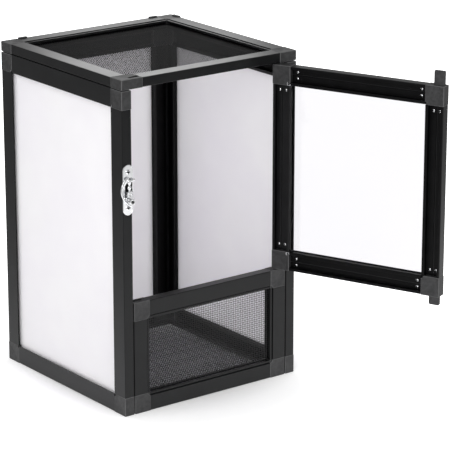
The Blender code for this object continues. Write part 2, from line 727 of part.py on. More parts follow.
def hook_pivot(materials, bores):
    """The pivot stands in the stile's wall, through the plate and the hook, with the spring on it."""
    hook_front = FRONT_Y - (HOOK_BACK_Y - HOOK_THICKNESS)
    wire = SPRING_WIRE / 2
    spring_start = hook_front + GAP + wire
    spring_end = spring_start + SPRING_TURNS * SPRING_PITCH
    head_start = spring_end + wire + GAP
    profile = [
        (0, -PIVOT_ANCHOR),
        (PIVOT_RADIUS, -PIVOT_ANCHOR),
        (PIVOT_RADIUS, head_start),
        (PIVOT_HEAD_RADIUS, head_start),
        (PIVOT_HEAD_RADIUS, head_start + PIVOT_HEAD_RIM),
        (PIVOT_CROWN_RADIUS, head_start + PIVOT_HEAD_HEIGHT),
        (0, head_start + PIVOT_HEAD_HEIGHT),
    ]
    place = along((PIVOT_X, FRONT_Y, PIVOT_HEIGHT), (0, -1, 0))
    mesh = turned_mesh("hook_pivot", profile, place)
    smooth(add_object("hook_pivot", mesh, materials["chrome"]))
    for node in ("hook_plate", "left_front_stile", "turn_hook"):
        bores.drill(node, place, PIVOT_RADIUS + GAP, -PIVOT_ANCHOR - GAP, head_start, TURNED_SIDES)
    hook_spring(materials, place, spring_start)


def hook_spring(materials, place, start):
    """An open coil round the pivot, one tube of wire, climbing one pitch in each turn."""
    count = SPRING_TURNS * SPRING_POINTS + 1
    turns = np.linspace(0, SPRING_TURNS, count)
    angle = 2 * math.pi * turns
    coil = np.column_stack(
        [SPRING_RADIUS * np.cos(angle), SPRING_RADIUS * np.sin(angle), start + SPRING_PITCH * turns]
    )
    curve = bpy.data.curves.new("hook_spring", "CURVE")
    curve.dimensions = "3D"
    curve.bevel_depth = SPRING_WIRE / 2
    curve.bevel_resolution = 1
    curve.use_fill_caps = True
    spline = curve.splines.new("POLY")
    spline.points.add(count - 1)
    for point, position in zip(spline.points, coil):
        point.co = (*(place @ Vector(position)), 1)
    obj = bpy.data.objects.new("hook_spring", curve)
    curve.materials.append(materials["steel"])
    bpy.context.scene.collection.objects.link(obj)
    print(f"least gap between the spring's turns: {least_gap(coil) * 1000:.2f} mm")


def least_gap(coil):
    """The smallest distance between points of the coil half a turn or more apart, less the wire."""
    apart = np.linalg.norm(coil[:, None] - coil[None], axis=2)
    steps = np.abs(np.subtract.outer(np.arange(len(coil)), np.arange(len(coil))))
    return apart[steps > SPRING_POINTS // 2].min() - SPRING_WIRE


def main():
    clear_scene()
    materials = make_materials()
    bores = Bores()
    side_frames(materials)
    net_frames(materials)
    floor_panel(materials)
    door(materials, bores)
    hook(materials, bores)
    bores.cut()


main()
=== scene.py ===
"""Looks of an upright screened cage for reptiles, with its clear door open.

Hollow black bars and moulded corner blocks make six frames. Nets fill the lid, the floor and the
front's lower part, white sheets the back and the sides, and a clear sheet the door.
"""

import json
import math

import bpy
import numpy as np
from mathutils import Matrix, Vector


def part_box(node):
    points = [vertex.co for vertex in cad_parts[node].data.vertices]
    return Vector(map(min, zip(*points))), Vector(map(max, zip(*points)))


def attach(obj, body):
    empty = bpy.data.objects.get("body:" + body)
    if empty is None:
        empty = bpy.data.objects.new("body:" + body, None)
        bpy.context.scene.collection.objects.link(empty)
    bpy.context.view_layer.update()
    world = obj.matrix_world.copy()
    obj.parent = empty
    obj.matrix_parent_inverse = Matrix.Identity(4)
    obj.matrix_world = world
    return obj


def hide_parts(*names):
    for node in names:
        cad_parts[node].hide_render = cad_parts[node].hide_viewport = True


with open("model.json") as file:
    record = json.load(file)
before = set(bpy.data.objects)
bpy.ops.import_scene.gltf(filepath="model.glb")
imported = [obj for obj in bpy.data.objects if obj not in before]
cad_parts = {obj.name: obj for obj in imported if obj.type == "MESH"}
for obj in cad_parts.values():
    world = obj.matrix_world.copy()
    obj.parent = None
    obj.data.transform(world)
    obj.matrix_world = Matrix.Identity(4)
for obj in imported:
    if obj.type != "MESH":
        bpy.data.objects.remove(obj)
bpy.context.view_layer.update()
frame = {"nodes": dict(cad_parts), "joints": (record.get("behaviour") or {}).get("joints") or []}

MM = 0.001
CORNER_STEPS = 4
LEAST_RADIUS = 0.02 * MM
IMAGE_PIXELS = 450
SENSOR_WIDTH = 36.0

# Camera
CAMERA_PLACE = (-1.933, -2.579, 1.230)
CAMERA_AZIMUTH = -37.26
CAMERA_ELEVATION = 17.05
CAMERA_FOCAL_PIXELS = 2494.0

# Bars: how wide they are, and the hollow section, from its outer edge and its outer face
BAR_WIDTH = 26 * MM
DOOR_BAR_WIDTH = 27 * MM
PROUD = 0.4 * MM
EDGE_RADIUS = 0.9 * MM
INNER_RADIUS = 0.35 * MM
LIP_WIDTH = 3.0 * MM
LIP_SET_BACK = 1.6 * MM
SEAM_WIDTH = 1.2 * MM
SEAM_DEPTH = 2.4 * MM
PANEL_FRONT = 4.7 * MM
PANEL_BACK = 8.3 * MM
PANEL_GRIP = 6.0 * MM
PANEL_REVEAL = 3.4 * MM
FLANGE_THICKNESS = 1.2 * MM
CHANNEL_MARGIN = 4.5 * MM
CHANNEL_DEPTH = 6.4 * MM
FLOOR_LINE = (11.6 * MM, 13.0 * MM)
FLOOR_LINE_DEPTH = 1.0 * MM

# Light: how bright the sky lights, how bright it is mirrored, and the floor's own glow
SKY_LIGHT = 1.07
SKY_MIRRORED = 0.46
FLOOR_GLOW = 0.2
THROUGH_GLOW = 0.06
POOL_GLOW = 0.5

# Floor, in metres: its half width, and the distances over which its glow and its shade change
FLOOR_HALF = 6.0
CAGE_CENTRE = (0, 0.13, 0)
NEAR_CAGE = (0.13, 0.2)
FAR_FROM_CAGE = (0.22, 0.6)
POOL_CENTRE = (0.25, -0.05, 0)
POOL_SPAN = (0.3, 1.1)
SHADE_SPAN = (0.35, 1.5)

# Lamps: place, the point each faces, size in metres and power in watts
FRONT_LIGHT = ((-2.15, -2.4, 1.5), (0, 0.1, 0.25), 1.8, 36)
BACK_CARD = ((0.46, 0.78, 0.86), (-0.145, 0.0, 0.465), 0.36, 1.6)

# Corner blocks: rings on a face, as shares of its size, and the gap to the next frame's blocks
FACE_SIZES = (0.04, 0.35, 0.7, 0.94)
BLOCK_RADIUS = 1.3 * MM
BLOCK_EDGE = 1.0 * MM
BLOCK_DISH = 1.3 * MM
FILLET_RINGS = 5
SEAM_GAP = 0.8 * MM
NOTCH = 3.4 * MM
KEY_FRONT = 1.6 * MM
KEY_BACK = 4.0 * MM
KEY_OVERLAP = 0.5 * MM
KEY_INSET = 0.28 * MM

# Nets: the lid's and the floor's pitches are set by how dense these nets look
NET_PITCH = {"lid": 2.0 * MM, "lower": 3.05 * MM, "floor": 2.2 * MM}
STRAND_SHARE = {"lid": 0.34, "lower": 0.20, "floor": 0.33}
THICKNESS_SHARE = 0.14
WAVE_SHARE = 0.10
NET_INSET = 0.4 * MM

# Screws on the door's bars. A head's rings are shares of its radius.
SCREW_FROM_EDGE = (8.0 * MM, 17.5 * MM)
SCREW_FROM_END = 8.0 * MM
SCREW_RADIUS = 2.0 * MM
SCREW_HEIGHT = 1.4 * MM
CROSS_HALF_WIDTH = 0.42 * MM
CROSS_REACH = 1.35 * MM
CROSS_DEPTH = 0.7 * MM
RECESS_SHARE = 0.3
DOME_FALL = 0.55
SCREW_SIDES = 48
SCREW_RINGS = (0.02, 0.14, 0.26, 0.38, 0.5, 0.58, 0.7, 0.85, 0.96, 1.0, 1.0)

# Bolts: room round them where they slide, and how far they slide
BOLT_PLAY = 0.4 * MM
BOLT_TRAVEL = {"upper": 20 * MM, "lower": 12.6 * MM}
BLOCK_OVERRUN = 1 * MM
BOLT_EXTRA_WIDTH = 1.3 * MM
BOLT_RADIUS = 1.3 * MM
BOLT_EDGE = 1.5 * MM

# Turned parts
TURNED_SIDES = 40

# Floor rim
RIM_WIDTH = 7 * MM
RIM_RADIUS = 0.8 * MM

# Latch, in (across, up) from its pivot where no other origin is named
PLATE_EDGE = 0.45 * MM
PLATE_DISH = 0.3 * MM
PLATE_RIM = 1.1 * MM
PAD_HALF_WIDTH = 5.6 * MM
PAD_HALF_HEIGHT = 15.5 * MM
PAD_ASIDE = 0.8 * MM
PAD_ABOVE = 0.5 * MM
PAD_THICKNESS = 0.3 * MM
PAD_EDGE = 0.1 * MM
PLATE_SCREW_RADIUS = 3.4 * MM
PLATE_SCREW_HEIGHT = 1.9 * MM
HUB_RADIUS = 5.6 * MM
HUB_HOLE = 2.0 * MM
HUB_EDGE = 0.5 * MM
HOOK_FRONT = -11.55 * MM
HOOK_BACK = -9.6 * MM
STEM_STATIONS = 90
ARM_STATIONS = 60
CLAW_POWER = 2.6
BOW_POWER = 3.2
CUP_RADIUS = 2.45 * MM
CUP_FLOOR = 17.7 * MM
SPRING_WIRE = 0.45 * MM
SPRING_RADIUS = 3.3 * MM
SPRING_TURNS = 3.5
TURN_STATIONS = 20
WIRE_SIDES = 10
CLIP_WIRE = 0.55 * MM
CLIP_TIP = 0.11 * MM
CLIP_DEPTH = 0.3 * MM
CLIP_STATIONS = 30

# Rows of height above the pivot, half width, half depth and the middle's place in depth, in mm
HOOK_STEM = [
    (4.6, 0.6, 0.5, -11.2), (4.9, 2.0, 1.2, -11.3), (5.6, 4.4, 2.7, -12.6), (6.3, 5.1, 3.2, -13.0),
    (7.3, 4.2, 2.8, -13.0), (8.3, 5.2, 3.3, -13.0), (9.4, 4.2, 2.8, -13.0), (10.5, 5.2, 3.3, -13.0),
    (11.5, 4.2, 2.8, -13.0), (12.4, 4.9, 3.0, -12.9), (13.0, 3.4, 2.2, -12.4), (13.6, 1.7, 1.5, -11.9),
    (14.8, 1.5, 1.4, -11.8), (16.2, 2.5, 2.0, -11.8), (17.8, 2.9, 2.2, -11.8), (19.4, 2.5, 2.0, -11.8),
    (20.7, 1.5, 1.4, -11.8), (21.8, 1.5, 1.4, -11.8), (23.2, 2.5, 1.9, -11.8), (25.0, 3.0, 2.1, -11.8),
    (27.0, 2.8, 2.1, -11.8), (28.6, 1.8, 1.4, -11.8), (29.1, 0.4, 0.4, -11.8),
]

# Rows of place across and up, half width, half depth and the middle's place in depth, in mm
HOOK_CLAW = [
    (0.5, 26.9, 1.2, 1.5, -11.8), (3.0, 26.9, 1.4, 1.8, -11.8), (5.4, 27.5, 1.5, 1.9, -11.8),
    (7.4, 27.8, 1.4, 1.8, -11.8), (8.5, 27.7, 0.9, 1.3, -11.8), (8.9, 27.6, 0.2, 0.3, -11.8),
]
HOOK_BOW = [
    (0.6, 30.6, 0.6, 0.5, -10.7), (-0.6, 30.4, 2.2, 0.95, -10.7), (-3.4, 28.6, 2.8, 1.0, -10.7),
    (-7.0, 24.4, 2.6, 1.0, -10.7), (-10.0, 19.0, 2.0, 1.0, -10.7), (-11.2, 13.5, 1.5, 1.0, -10.7),
    (-10.3, 7.6, 1.3, 1.0, -10.9), (-7.6, 1.8, 1.25, 1.0, -11.3), (-3.9, -3.0, 1.25, 1.0, -11.8),
    (-0.4, -6.0, 1.2, 1.0, -12.2), (2.4, -6.9, 1.0, 0.8, -12.3), (3.2, -6.9, 0.2, 0.2, -12.3),
]

# Lugs on the lid, from its back and side edges
LUG_FROM_EDGE = (0.6 * MM, 5.4 * MM)
LUG_FROM_SIDE = (27 * MM, 41 * MM)
LUG_FROM_BACK = (10 * MM, 25 * MM)
LUG_RADIUS = 1.5 * MM

# A frame's bars: the axis they run along, their place across and up the frame, and their name
FRAME_BARS = (
    (0, (1, 0), "low_rail"),
    (0, (1, 2), "high_rail"),
    (2, (0, 1), "first_stile"),
    (2, (2, 1), "second_stile"),
)

DOOR_OPEN = -frame["joints"][0]["range_deg"][0]


def turned(angle):
    """The seat of a frame that faces the front, turned by an angle in degrees about Z.

    A seat is three unit directions, as the rows of a matrix: along a frame, into it and up it.
    """
    c, s = math.cos(math.radians(angle)), math.sin(math.radians(angle))
    return np.array([(c, s, 0), (-s, c, 0), (0, 0, 1)])


FRONT = turned(0)
LEFT = turned(-90)
RIGHT = turned(90)
BACK = turned(180)
LID = np.array([(1.0, 0, 0), (0, 0, -1), (0, 1, 0)])
FLOOR = np.array([(1.0, 0, 0), (0, 0, 1), (0, -1, 0)])
DOOR = turned(DOOR_OPEN)


def local_box(node, seat):
    """A node's lowest and highest corners along a frame's own directions."""
    mesh = frame["nodes"][node].data
    points = np.empty((len(mesh.vertices), 3))
    mesh.vertices.foreach_get("co", points.ravel())
    points = points @ seat.T
    return points.min(axis=0), points.max(axis=0)


def outline(corners, radii, inset=0.0, steps=CORNER_STEPS):
    """A right-angled outline with rounded corners, drawn in by an inset.

    Each corner P, between edges whose inner normals are m and n, moves to P + inset (m + n). A
    corner that points out gets the arc C - r (m cos a + n sin a) about C = P + r (m + n), with a
    from 0 to 90 degrees and r less by the inset. One that points in has its arc's centre on the
    other side, and r more by the inset. The corners run anticlockwise.
    """
    corners = np.asarray(corners, dtype=float)
    radii = np.broadcast_to(np.asarray(radii, dtype=float), len(corners))
    along = np.roll(corners, -1, axis=0) - corners
    along /= np.linalg.norm(along, axis=1)[:, None]
    normal = np.column_stack([-along[:, 1], along[:, 0]])
    before = np.roll(normal, 1, axis=0)
    side = np.sign(before[:, 0] * normal[:, 1] - before[:, 1] * normal[:, 0])[:, None, None]
    radius = np.maximum(radii[:, None, None] - side * inset, LEAST_RADIUS)
    point = corners[:, None, :] + inset * (before + normal)[:, None, :]
    angle = np.linspace(0, math.pi / 2, steps + 1)[None, :, None]
    m = before[:, None, :]
    n = normal[:, None, :]
    centre = point + side * radius * (m + n)
    return (centre - side * radius * (m * np.cos(angle) + n * np.sin(angle))).reshape(-1, 2)


def box_corners(low, high):
    """The four corners of a rectangle, anticlockwise."""
    return [(low[0], low[1]), (high[0], low[1]), (high[0], high[1]), (low[0], high[1])]


def shown(name, data):
    """A new object in the scene, for a mesh, a camera or a lamp."""
    item = bpy.data.objects.new(name, data)
    bpy.context.scene.collection.objects.link(item)
    return item


def shape_of(name, points, faces):
    """A new object in the scene, with a mesh of these points and faces."""
    mesh = bpy.data.meshes.new(name)
    mesh.from_pydata(np.asarray(points).tolist(), [], faces)
    return shown(name, mesh)


def make_piece(name, points, faces, body, materials, slot, nodes=(), smooth=35, indices=None, wear=None):
    """Makes one piece of the visual model, hangs it on what it rides on and hides the nodes it stands for.

    indices picks one of its materials for each face, and the last argument weights a painted edge highlight
    at each point.
    """
    piece = shape_of(name, points, faces)
    mesh = piece.data
    for material in materials if isinstance(materials, tuple) else (materials,):
        mesh.materials.append(material)
    if indices is not None:
        mesh.polygons.foreach_set("material_index", indices)
    # Weights of the painted edge highlight, as a point attribute that the block's material reads
    if wear is not None:
        mesh.attributes.new("wear", "FLOAT", "POINT").data.foreach_set("value", wear)
    mesh.shade_smooth()
    mesh.set_sharp_from_angle(angle=math.radians(smooth))
    piece.modifiers.new("even_shading", "WEIGHTED_NORMAL").keep_sharp = True
    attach(piece, body)
    if nodes:
        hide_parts(*nodes)
    return piece


def shells(rings, loop=False):
    """Closed solids from stacks of rings: rings has the axes solid, ring, point and coordinate.

    Point j of ring i joins point j + 1 of ring i + 1 by one four-sided face, and a flat face closes
    each end, unless the rings loop round to the first. A stack whose volume comes out negative has
    its rings reversed, so every face points out.
    """
    rings = np.array(rings, dtype=float)
    if rings.ndim == 3:
        rings = rings[None]
    nxt = np.roll(rings, -1, axis=2)
    above = np.roll(rings, -1, axis=1)
    across = np.roll(nxt, -1, axis=1)
    sides = slice(None) if loop else slice(None, -1)
    quads = (rings[:, sides], nxt[:, sides], across[:, sides], above[:, sides])
    middle = rings.mean(axis=(1, 2), keepdims=True)
    a, b, c, d = (part - middle for part in quads)
    volume = (np.cross(a, b) * c).sum(axis=(1, 2, 3)) + (np.cross(a, c) * d).sum(axis=(1, 2, 3))
    if not loop:
        volume += cap_volume(rings[:, -1] - middle[:, 0]) - cap_volume(rings[:, 0] - middle[:, 0])
    rings[volume < 0] = rings[volume < 0][:, ::-1]

    solids, layers, count, _ = rings.shape
    index = np.arange(solids * layers * count).reshape(solids, layers, count)
    right = np.roll(index, -1, axis=2)
    up = np.roll(index, -1, axis=1)
    corner = np.roll(right, -1, axis=1)
    four = np.stack([index[:, sides], right[:, sides], corner[:, sides], up[:, sides]], axis=-1)
    faces = four.reshape(-1, 4).tolist()
    if not loop:
        faces += index[:, 0, ::-1].tolist() + index[:, -1].tolist()
    return rings.reshape(-1, 3), faces


def stacked(outlines, axis=1):
    """Outlines in a plane as rings in space, each at its own level along the axis across the plane."""
    return np.array([np.insert(ring, axis, level, axis=1) for ring, level in outlines])


def square_to(axis):
    """A unit axis as an array, with two unit directions square to it and to each other."""
    axis = np.array(axis, dtype=float)
    helper = (0, 0, 1.0) if abs(axis[2]) < 0.9 else (1.0, 0, 0)
    e = np.cross(axis, helper)
    e /= np.linalg.norm(e)
    return axis, e, np.cross(axis, e)


def cap_volume(ring):
    """Six times the volume between a flat ring of points and the origin."""
    first = ring[:, :1]
    turns = np.cross(ring[:, 1:-1], ring[:, 2:])
    return (turns * first).sum(axis=(1, 2))


def joined(*parts):
    """Several sets of points and faces as one set."""
    points, faces = [], []
    for part_points, part_faces in parts:
        count = sum(map(len, points))
        points.append(part_points)
        faces += [[index + count for index in face] for face in part_faces]
    return np.concatenate(points), faces


def bar_corners(width, depth, kind):
    """The bar's section, anticlockwise in (distance from the outer edge, distance from the outer face).

    Beside a net the outer face ends at a narrow seam and the cord that holds the net. Beside a sheet
    it is a thin flange over a deep gap. Behind lies the panel's groove, and the inner face has a wide
    channel. A door bar's channel has a line along it.
    """
    back = depth - PROUD
    floor = back - CHANNEL_DEPTH
    grip = width - PANEL_GRIP
    inner = width - CHANNEL_MARGIN
    if kind == "net":
        lip = width - LIP_WIDTH
        seam = lip - SEAM_WIDTH
        under = PROUD + SEAM_DEPTH
        corners = [(PROUD, PROUD), (seam, PROUD), (seam, under), (lip, under), (lip, LIP_SET_BACK)]
        corners += [(width, LIP_SET_BACK), (width, PANEL_FRONT)]
    else:
        gap = width - PANEL_REVEAL
        under = PROUD + FLANGE_THICKNESS
        corners = [(PROUD, PROUD), (width, PROUD), (width, under), (gap, under), (gap, PANEL_FRONT)]
    corners += [(grip, PANEL_FRONT), (grip, PANEL_BACK), (width, PANEL_BACK), (width, back)]
    corners += [(inner, back), (inner, floor)]
    if kind in ("door", "hinge"):
        start, end = FLOOR_LINE
        below = floor - FLOOR_LINE_DEPTH
        corners += [(end, floor), (end, below), (start, below), (start, floor)]
    return corners + [(CHANNEL_MARGIN, floor), (CHANNEL_MARGIN, back), (PROUD, back)]


def bar_shell(seat, edge, inner, start, end, along, low_y, depth, kind):
    """A bar: its section carried from start to end along the frame's axis 0 or 2.

    edge is where the bar's outer edge is on the other axis, and inner is where its panel edge is.
    Also says which faces are painted darker as painted shade: a channel's and those behind the panel's edge,
    less the channel's floor in the stile beside the hinges. The door's other bars have it all over their
    inner side.
    """
    width = abs(inner - edge)
    corners = bar_corners(width, depth, kind)
    outer = ((PROUD, PROUD), (PROUD, depth - PROUD), (width, depth - PROUD))
    radii = [EDGE_RADIUS if corner in outer else INNER_RADIUS for corner in corners]
    section = outline(corners, radii, steps=3)
    across = 2 - along
    ring = np.zeros((2, len(section), 3))
    ring[:, :, across] = edge + math.copysign(1, inner - edge) * section[:, 0]
    ring[:, :, 1] = low_y + section[:, 1]
    ring[:, :, along] = np.array([start, end])[:, None]
    middle = (section + np.roll(section, -1, axis=0)) / 2
    floor = depth - PROUD - CHANNEL_DEPTH
    # Faces painted darker as painted shade, where shade falls in the channels and behind the panel's edge
    painted_shade_faces = middle[:, 1] > PANEL_BACK
    if kind == "door":
        painted_shade_faces &= middle[:, 0] > EDGE_RADIUS + PROUD
    else:
        painted_shade_faces &= np.abs(middle[:, 0] - width / 2) < width / 2 - CHANNEL_MARGIN + INNER_RADIUS
        painted_shade_faces &= middle[:, 1] < depth - PROUD
        behind = (middle[:, 1] > PANEL_BACK) & (middle[:, 1] < depth - PROUD - EDGE_RADIUS)
        painted_shade_faces |= behind & (middle[:, 0] > width - INNER_RADIUS)
    if kind == "hinge":
        painted_shade_faces &= middle[:, 1] > floor + INNER_RADIUS
    return *shells(ring @ seat), np.append(painted_shade_faces, (False, False)).astype(np.int32)


def block_shell(seat, low, high, toward, guide=None):
    """A moulded corner block: a rounded box with dished faces and a notch at the panel's corner.

    A guide is the box that a bolt slides in. Also gives the weight of the painted edge highlight at each
    point.

    Rings of the notched outline are carried from the middle of the outer face to the middle of the
    inner face. On a face a ring's size falls from 1 to 0 while it sinks by the dish's depth in
    proportion, so four shallow planes meet on the diagonals. At the edge, ring k of the fillet of
    radius r has the inset r (1 - sin a) and the depth r (1 - cos a).
    """
    corners = notched(low[::2], high[::2], toward)
    middle = (np.array(low[::2]) + high[::2]) / 2
    face = outline(corners, BLOCK_RADIUS, BLOCK_EDGE)
    half = [(middle + size * (face - middle), BLOCK_DISH * (1 - size)) for size in FACE_SIZES]
    angles = np.linspace(0, math.pi / 2, FILLET_RINGS)
    for angle in angles:
        inset = BLOCK_EDGE * (1 - math.sin(angle))
        half.append((outline(corners, BLOCK_RADIUS, inset), BLOCK_EDGE * (1 - math.cos(angle))))
    stack = [(ring, low[1] + sink) for ring, sink in half]
    stack += [(ring, high[1] - sink) for ring, sink in half[::-1]]
    solid = shells(stacked(stack) @ seat)
    wear = block_edge_highlight(len(FACE_SIZES), angles, len(corners))
    if guide is not None:
        solid, wear = without_box(*solid, wear, *guide, seat)
    key = key_shell(seat, low, high, toward)
    return *joined(solid, key), np.append(wear, np.zeros(len(key[0])))


def block_edge_highlight(face_rings, angles, corner_count):
    """How much painted highlight a block's edges get at each point: 1 along the middle of its rounded edges,
    0 on its faces.

    On ring k of a fillet it is sin 2a, and on a rounded corner of the outline sin 2b, less towards
    the faces by sin a, where a and b run from 0 to 90 degrees over each.
    """
    turn = np.linspace(0, math.pi / 2, CORNER_STEPS + 1)
    around = np.tile(np.sin(2 * turn), corner_count)
    fillet = np.maximum(np.sin(2 * angles)[:, None], np.sin(angles)[:, None] * around[None])
    faces = np.zeros((face_rings, len(around)))
    return np.concatenate([faces, fillet, fillet[::-1], faces]).ravel()


def without_box(points, faces, wear, low, high, seat):
    """A closed shape less a box, with the painted edge highlight's weights carried over to the new points.
    """
    corners = np.array(box_corners(low[:2], high[:2]))
    box = shells(stacked([(corners, low[2]), (corners, high[2])], 2) @ seat)
    shape, cutter = shape_of("shape", points, faces), shape_of("cutter", *box)
    shape.data.attributes.new("wear", "FLOAT", "POINT").data.foreach_set("value", wear)
    cut = shape.modifiers.new("cut", "BOOLEAN")
    cut.operation = "DIFFERENCE"
    cut.object = cutter
    bpy.context.view_layer.update()
    result = shape.evaluated_get(bpy.context.evaluated_depsgraph_get()).to_mesh()
    new_points = np.empty((len(result.vertices), 3))
    result.vertices.foreach_get("co", new_points.ravel())
    new_edge_highlight = np.empty(len(result.vertices))
    result.attributes["wear"].data.foreach_get("value", new_edge_highlight)
    new_faces = [list(face.vertices) for face in result.polygons]
    # Removing a mesh removes its object too
    for mesh in (shape.data, cutter.data):
        bpy.data.meshes.remove(mesh)
    return (new_points, new_faces), new_edge_highlight


def notched(low, high, toward):
    """A rectangle's corners, anticlockwise, with a square notch at the corner towards the panel."""
    corners = []
    for x, z in box_corners(low, high):
        right, top = x == high[0], z == high[1]
        if (right, top) != toward:
            corners.append((x, z))
            continue
        in_x = x - NOTCH if right else x + NOTCH
        in_z = z - NOTCH if top else z + NOTCH
        cut = [(x, in_z), (in_x, in_z), (in_x, z)]
        corners += cut if right == top else cut[::-1]
    return corners


def key_shell(seat, low, high, toward):
    """The small square key that fills a block's notch between the two faces."""
    spans = []
    reach = NOTCH + KEY_OVERLAP
    for start, end, is_high in ((low[0], high[0], toward[0]), (low[2], high[2], toward[1])):
        spans.append((end - reach, end) if is_high else (start, start + reach))
    corners = box_corners(*zip(*spans))
    ring = outline(corners, INNER_RADIUS)
    inner = outline(corners, INNER_RADIUS, KEY_INSET)
    front, back = low[1] + KEY_FRONT, high[1] - KEY_BACK
    stack = [(inner, front), (ring, front + INNER_RADIUS), (ring, back - INNER_RADIUS), (inner, back)]
    return shells(stacked(stack) @ seat)


def linear(code):
    """An sRGB hex colour as linear red, green, blue and 1, by the sRGB curve."""
    values = np.array([int(code[i : i + 2], 16) / 255 for i in (1, 3, 5)])
    low = values / 12.92
    high = ((values + 0.055) / 1.055) ** 2.4
    return (*np.where(values <= 0.04045, low, high).tolist(), 1.0)


def set_inputs(tree, node, inputs):
    """Gives a node its input values and its links."""
    for key, value in inputs.items():
        if isinstance(value, bpy.types.NodeSocket):
            tree.links.new(value, node.inputs[key])
        else:
            node.inputs[key].default_value = value


def add(tree, kind, inputs=None, **settings):
    """Adds a node with its settings, its input values and its links."""
    node = tree.nodes.new(kind)
    for key, value in settings.items():
        setattr(node, key, value)
    set_inputs(tree, node, inputs or {})
    return node


def empty_tree(owner):
    """The node tree of a material or a world, with nothing in it."""
    owner.use_nodes = True
    owner.node_tree.nodes.clear()
    return owner.node_tree


def new_material(name):
    """An empty material with its tree, a shader and the object's own coordinates."""
    material = bpy.data.materials.new(name)
    tree = empty_tree(material)
    shader = add(tree, "ShaderNodeBsdfPrincipled")
    add(tree, "ShaderNodeOutputMaterial", {"Surface": shader.outputs["BSDF"]})
    place = add(tree, "ShaderNodeTexCoord").outputs["Object"]
    return material, tree, shader, place


def blend_colours(tree, factor, low, high, start=0.35, end=0.65):
    """A colour that runs from low to high as a pattern's value passes from start to end."""
    span = {"Value": factor, "From Min": start, "From Max": end}
    share = add(tree, "ShaderNodeMapRange", span).outputs["Result"]
    colours = {0: share, 6: linear(low), 7: linear(high)}
    return add(tree, "ShaderNodeMix", colours, data_type="RGBA").outputs[2]


def satin_bar():
    """Black powder-coated aluminium, rolled and then baked.

    It is a satin coat with a faint orange peel of about 1.5 mm, so reflections are broad and soft.
    """
    material, tree, shader, place = new_material("black_powder_coated_aluminium")
    peel = add(tree, "ShaderNodeTexNoise", {"Vector": place, "Scale": 650.0, "Detail": 2.0})
    cloud = add(tree, "ShaderNodeTexNoise", {"Vector": place, "Scale": 40.0, "Detail": 3.0}).outputs["Fac"]
    rough = add(tree, "ShaderNodeMapRange", {"Value": cloud, "To Min": 0.30, "To Max": 0.38})
    height = {"Height": peel.outputs["Fac"], "Strength": 0.06, "Distance": 0.0004}
    looks = {
        "Base Color": blend_colours(tree, cloud, "#08080A", "#0E0F10"),
        "Roughness": rough.outputs["Result"],
        "Normal": add(tree, "ShaderNodeBump", height).outputs["Normal"],
        "IOR": 1.34,
    }
    set_inputs(tree, shader, looks)
    return material


def dull_black_and_shade():
    """A dull black, darker than the bars: painted shade where shade falls in channels and recesses, and the
    latch pad's own black.
    """
    material, tree, shader, place = new_material("thin_black_powder_coat")
    cloud = add(tree, "ShaderNodeTexNoise", {"Vector": place, "Scale": 60.0, "Detail": 3.0})
    colour = blend_colours(tree, cloud.outputs["Fac"], "#040405", "#080809")
    set_inputs(tree, shader, {"Base Color": colour, "Roughness": 0.5, "IOR": 1.22})
    return material


def moulded_block():
    """Black ABS, moulded in a spark-eroded tool.

    Its fine grain of about 0.7 mm scatters the light, so a block looks greyer than the bars. Its rounded
    edges are painted a lighter grey: a painted highlight for the light line that the edges catch.
    """
    material, tree, shader, place = new_material("black_grained_abs")
    grain = add(tree, "ShaderNodeTexNoise", {"Vector": place, "Scale": 1500.0, "Detail": 2.0})
    cloud = add(tree, "ShaderNodeTexNoise", {"Vector": place, "Scale": 220.0, "Detail": 4.0})
    body = blend_colours(tree, cloud.outputs["Fac"], "#222223", "#313132")
    # Painted highlight: a lighter grey laid along the rounded edges, by a weight at each point
    wear = add(tree, "ShaderNodeAttribute", attribute_name="wear").outputs["Fac"]
    share = {"Value": wear, "From Min": 0.4, "From Max": 1.0, "To Max": 0.45}
    highlight_share = add(tree, "ShaderNodeMapRange", share).outputs["Result"]
    mixed = {0: highlight_share, 6: body, 7: linear("#7C7C7D")}
    height = {"Height": grain.outputs["Fac"], "Strength": 0.25, "Distance": 0.0003}
    looks = {
        "Base Color": add(tree, "ShaderNodeMix", mixed, data_type="RGBA").outputs[2],
        "Normal": add(tree, "ShaderNodeBump", height).outputs["Normal"],
        "Roughness": 0.6,
        "IOR": 1.5,
    }
    set_inputs(tree, shader, looks)
    return material


def white_sheet():
    """White hard PVC, extruded flat, with a slight satin sheen and the faintest ripple."""
    material, tree, shader, place = new_material("white_pvc_sheet")
    cloud = add(tree, "ShaderNodeTexNoise", {"Vector": place, "Scale": 9.0, "Detail": 2.0}).outputs["Fac"]
    bump = add(tree, "ShaderNodeBump", {"Height": cloud, "Strength": 0.05, "Distance": 0.002})
    looks = {
        "Base Color": blend_colours(tree, cloud, "#F1EBFA", "#F6F1FE"),
        "Normal": bump.outputs["Normal"],
        "Roughness": 0.42,
        "IOR": 1.53,
        "Subsurface Weight": 1.0,
        "Subsurface Radius": (1.0, 1.0, 1.0),
        "Subsurface Scale": 0.012,
    }
    set_inputs(tree, shader, looks)
    return material


def clear_sheet():
    """Clear cast acrylic: polished, almost without colour, with very faint ripples from casting."""
    material, tree, shader, place = new_material("clear_cast_acrylic")
    ripple = add(tree, "ShaderNodeTexNoise", {"Vector": place, "Scale": 12.0, "Detail": 1.0}).outputs["Fac"]
    bump = add(tree, "ShaderNodeBump", {"Height": ripple, "Strength": 0.02, "Distance": 0.001})
    looks = {
        "Base Color": linear("#F9F8FB"),
        "Normal": bump.outputs["Normal"],
        "Roughness": 0.02,
        "IOR": 1.49,
        "Transmission Weight": 1.0,
    }
    set_inputs(tree, shader, looks)
    return material


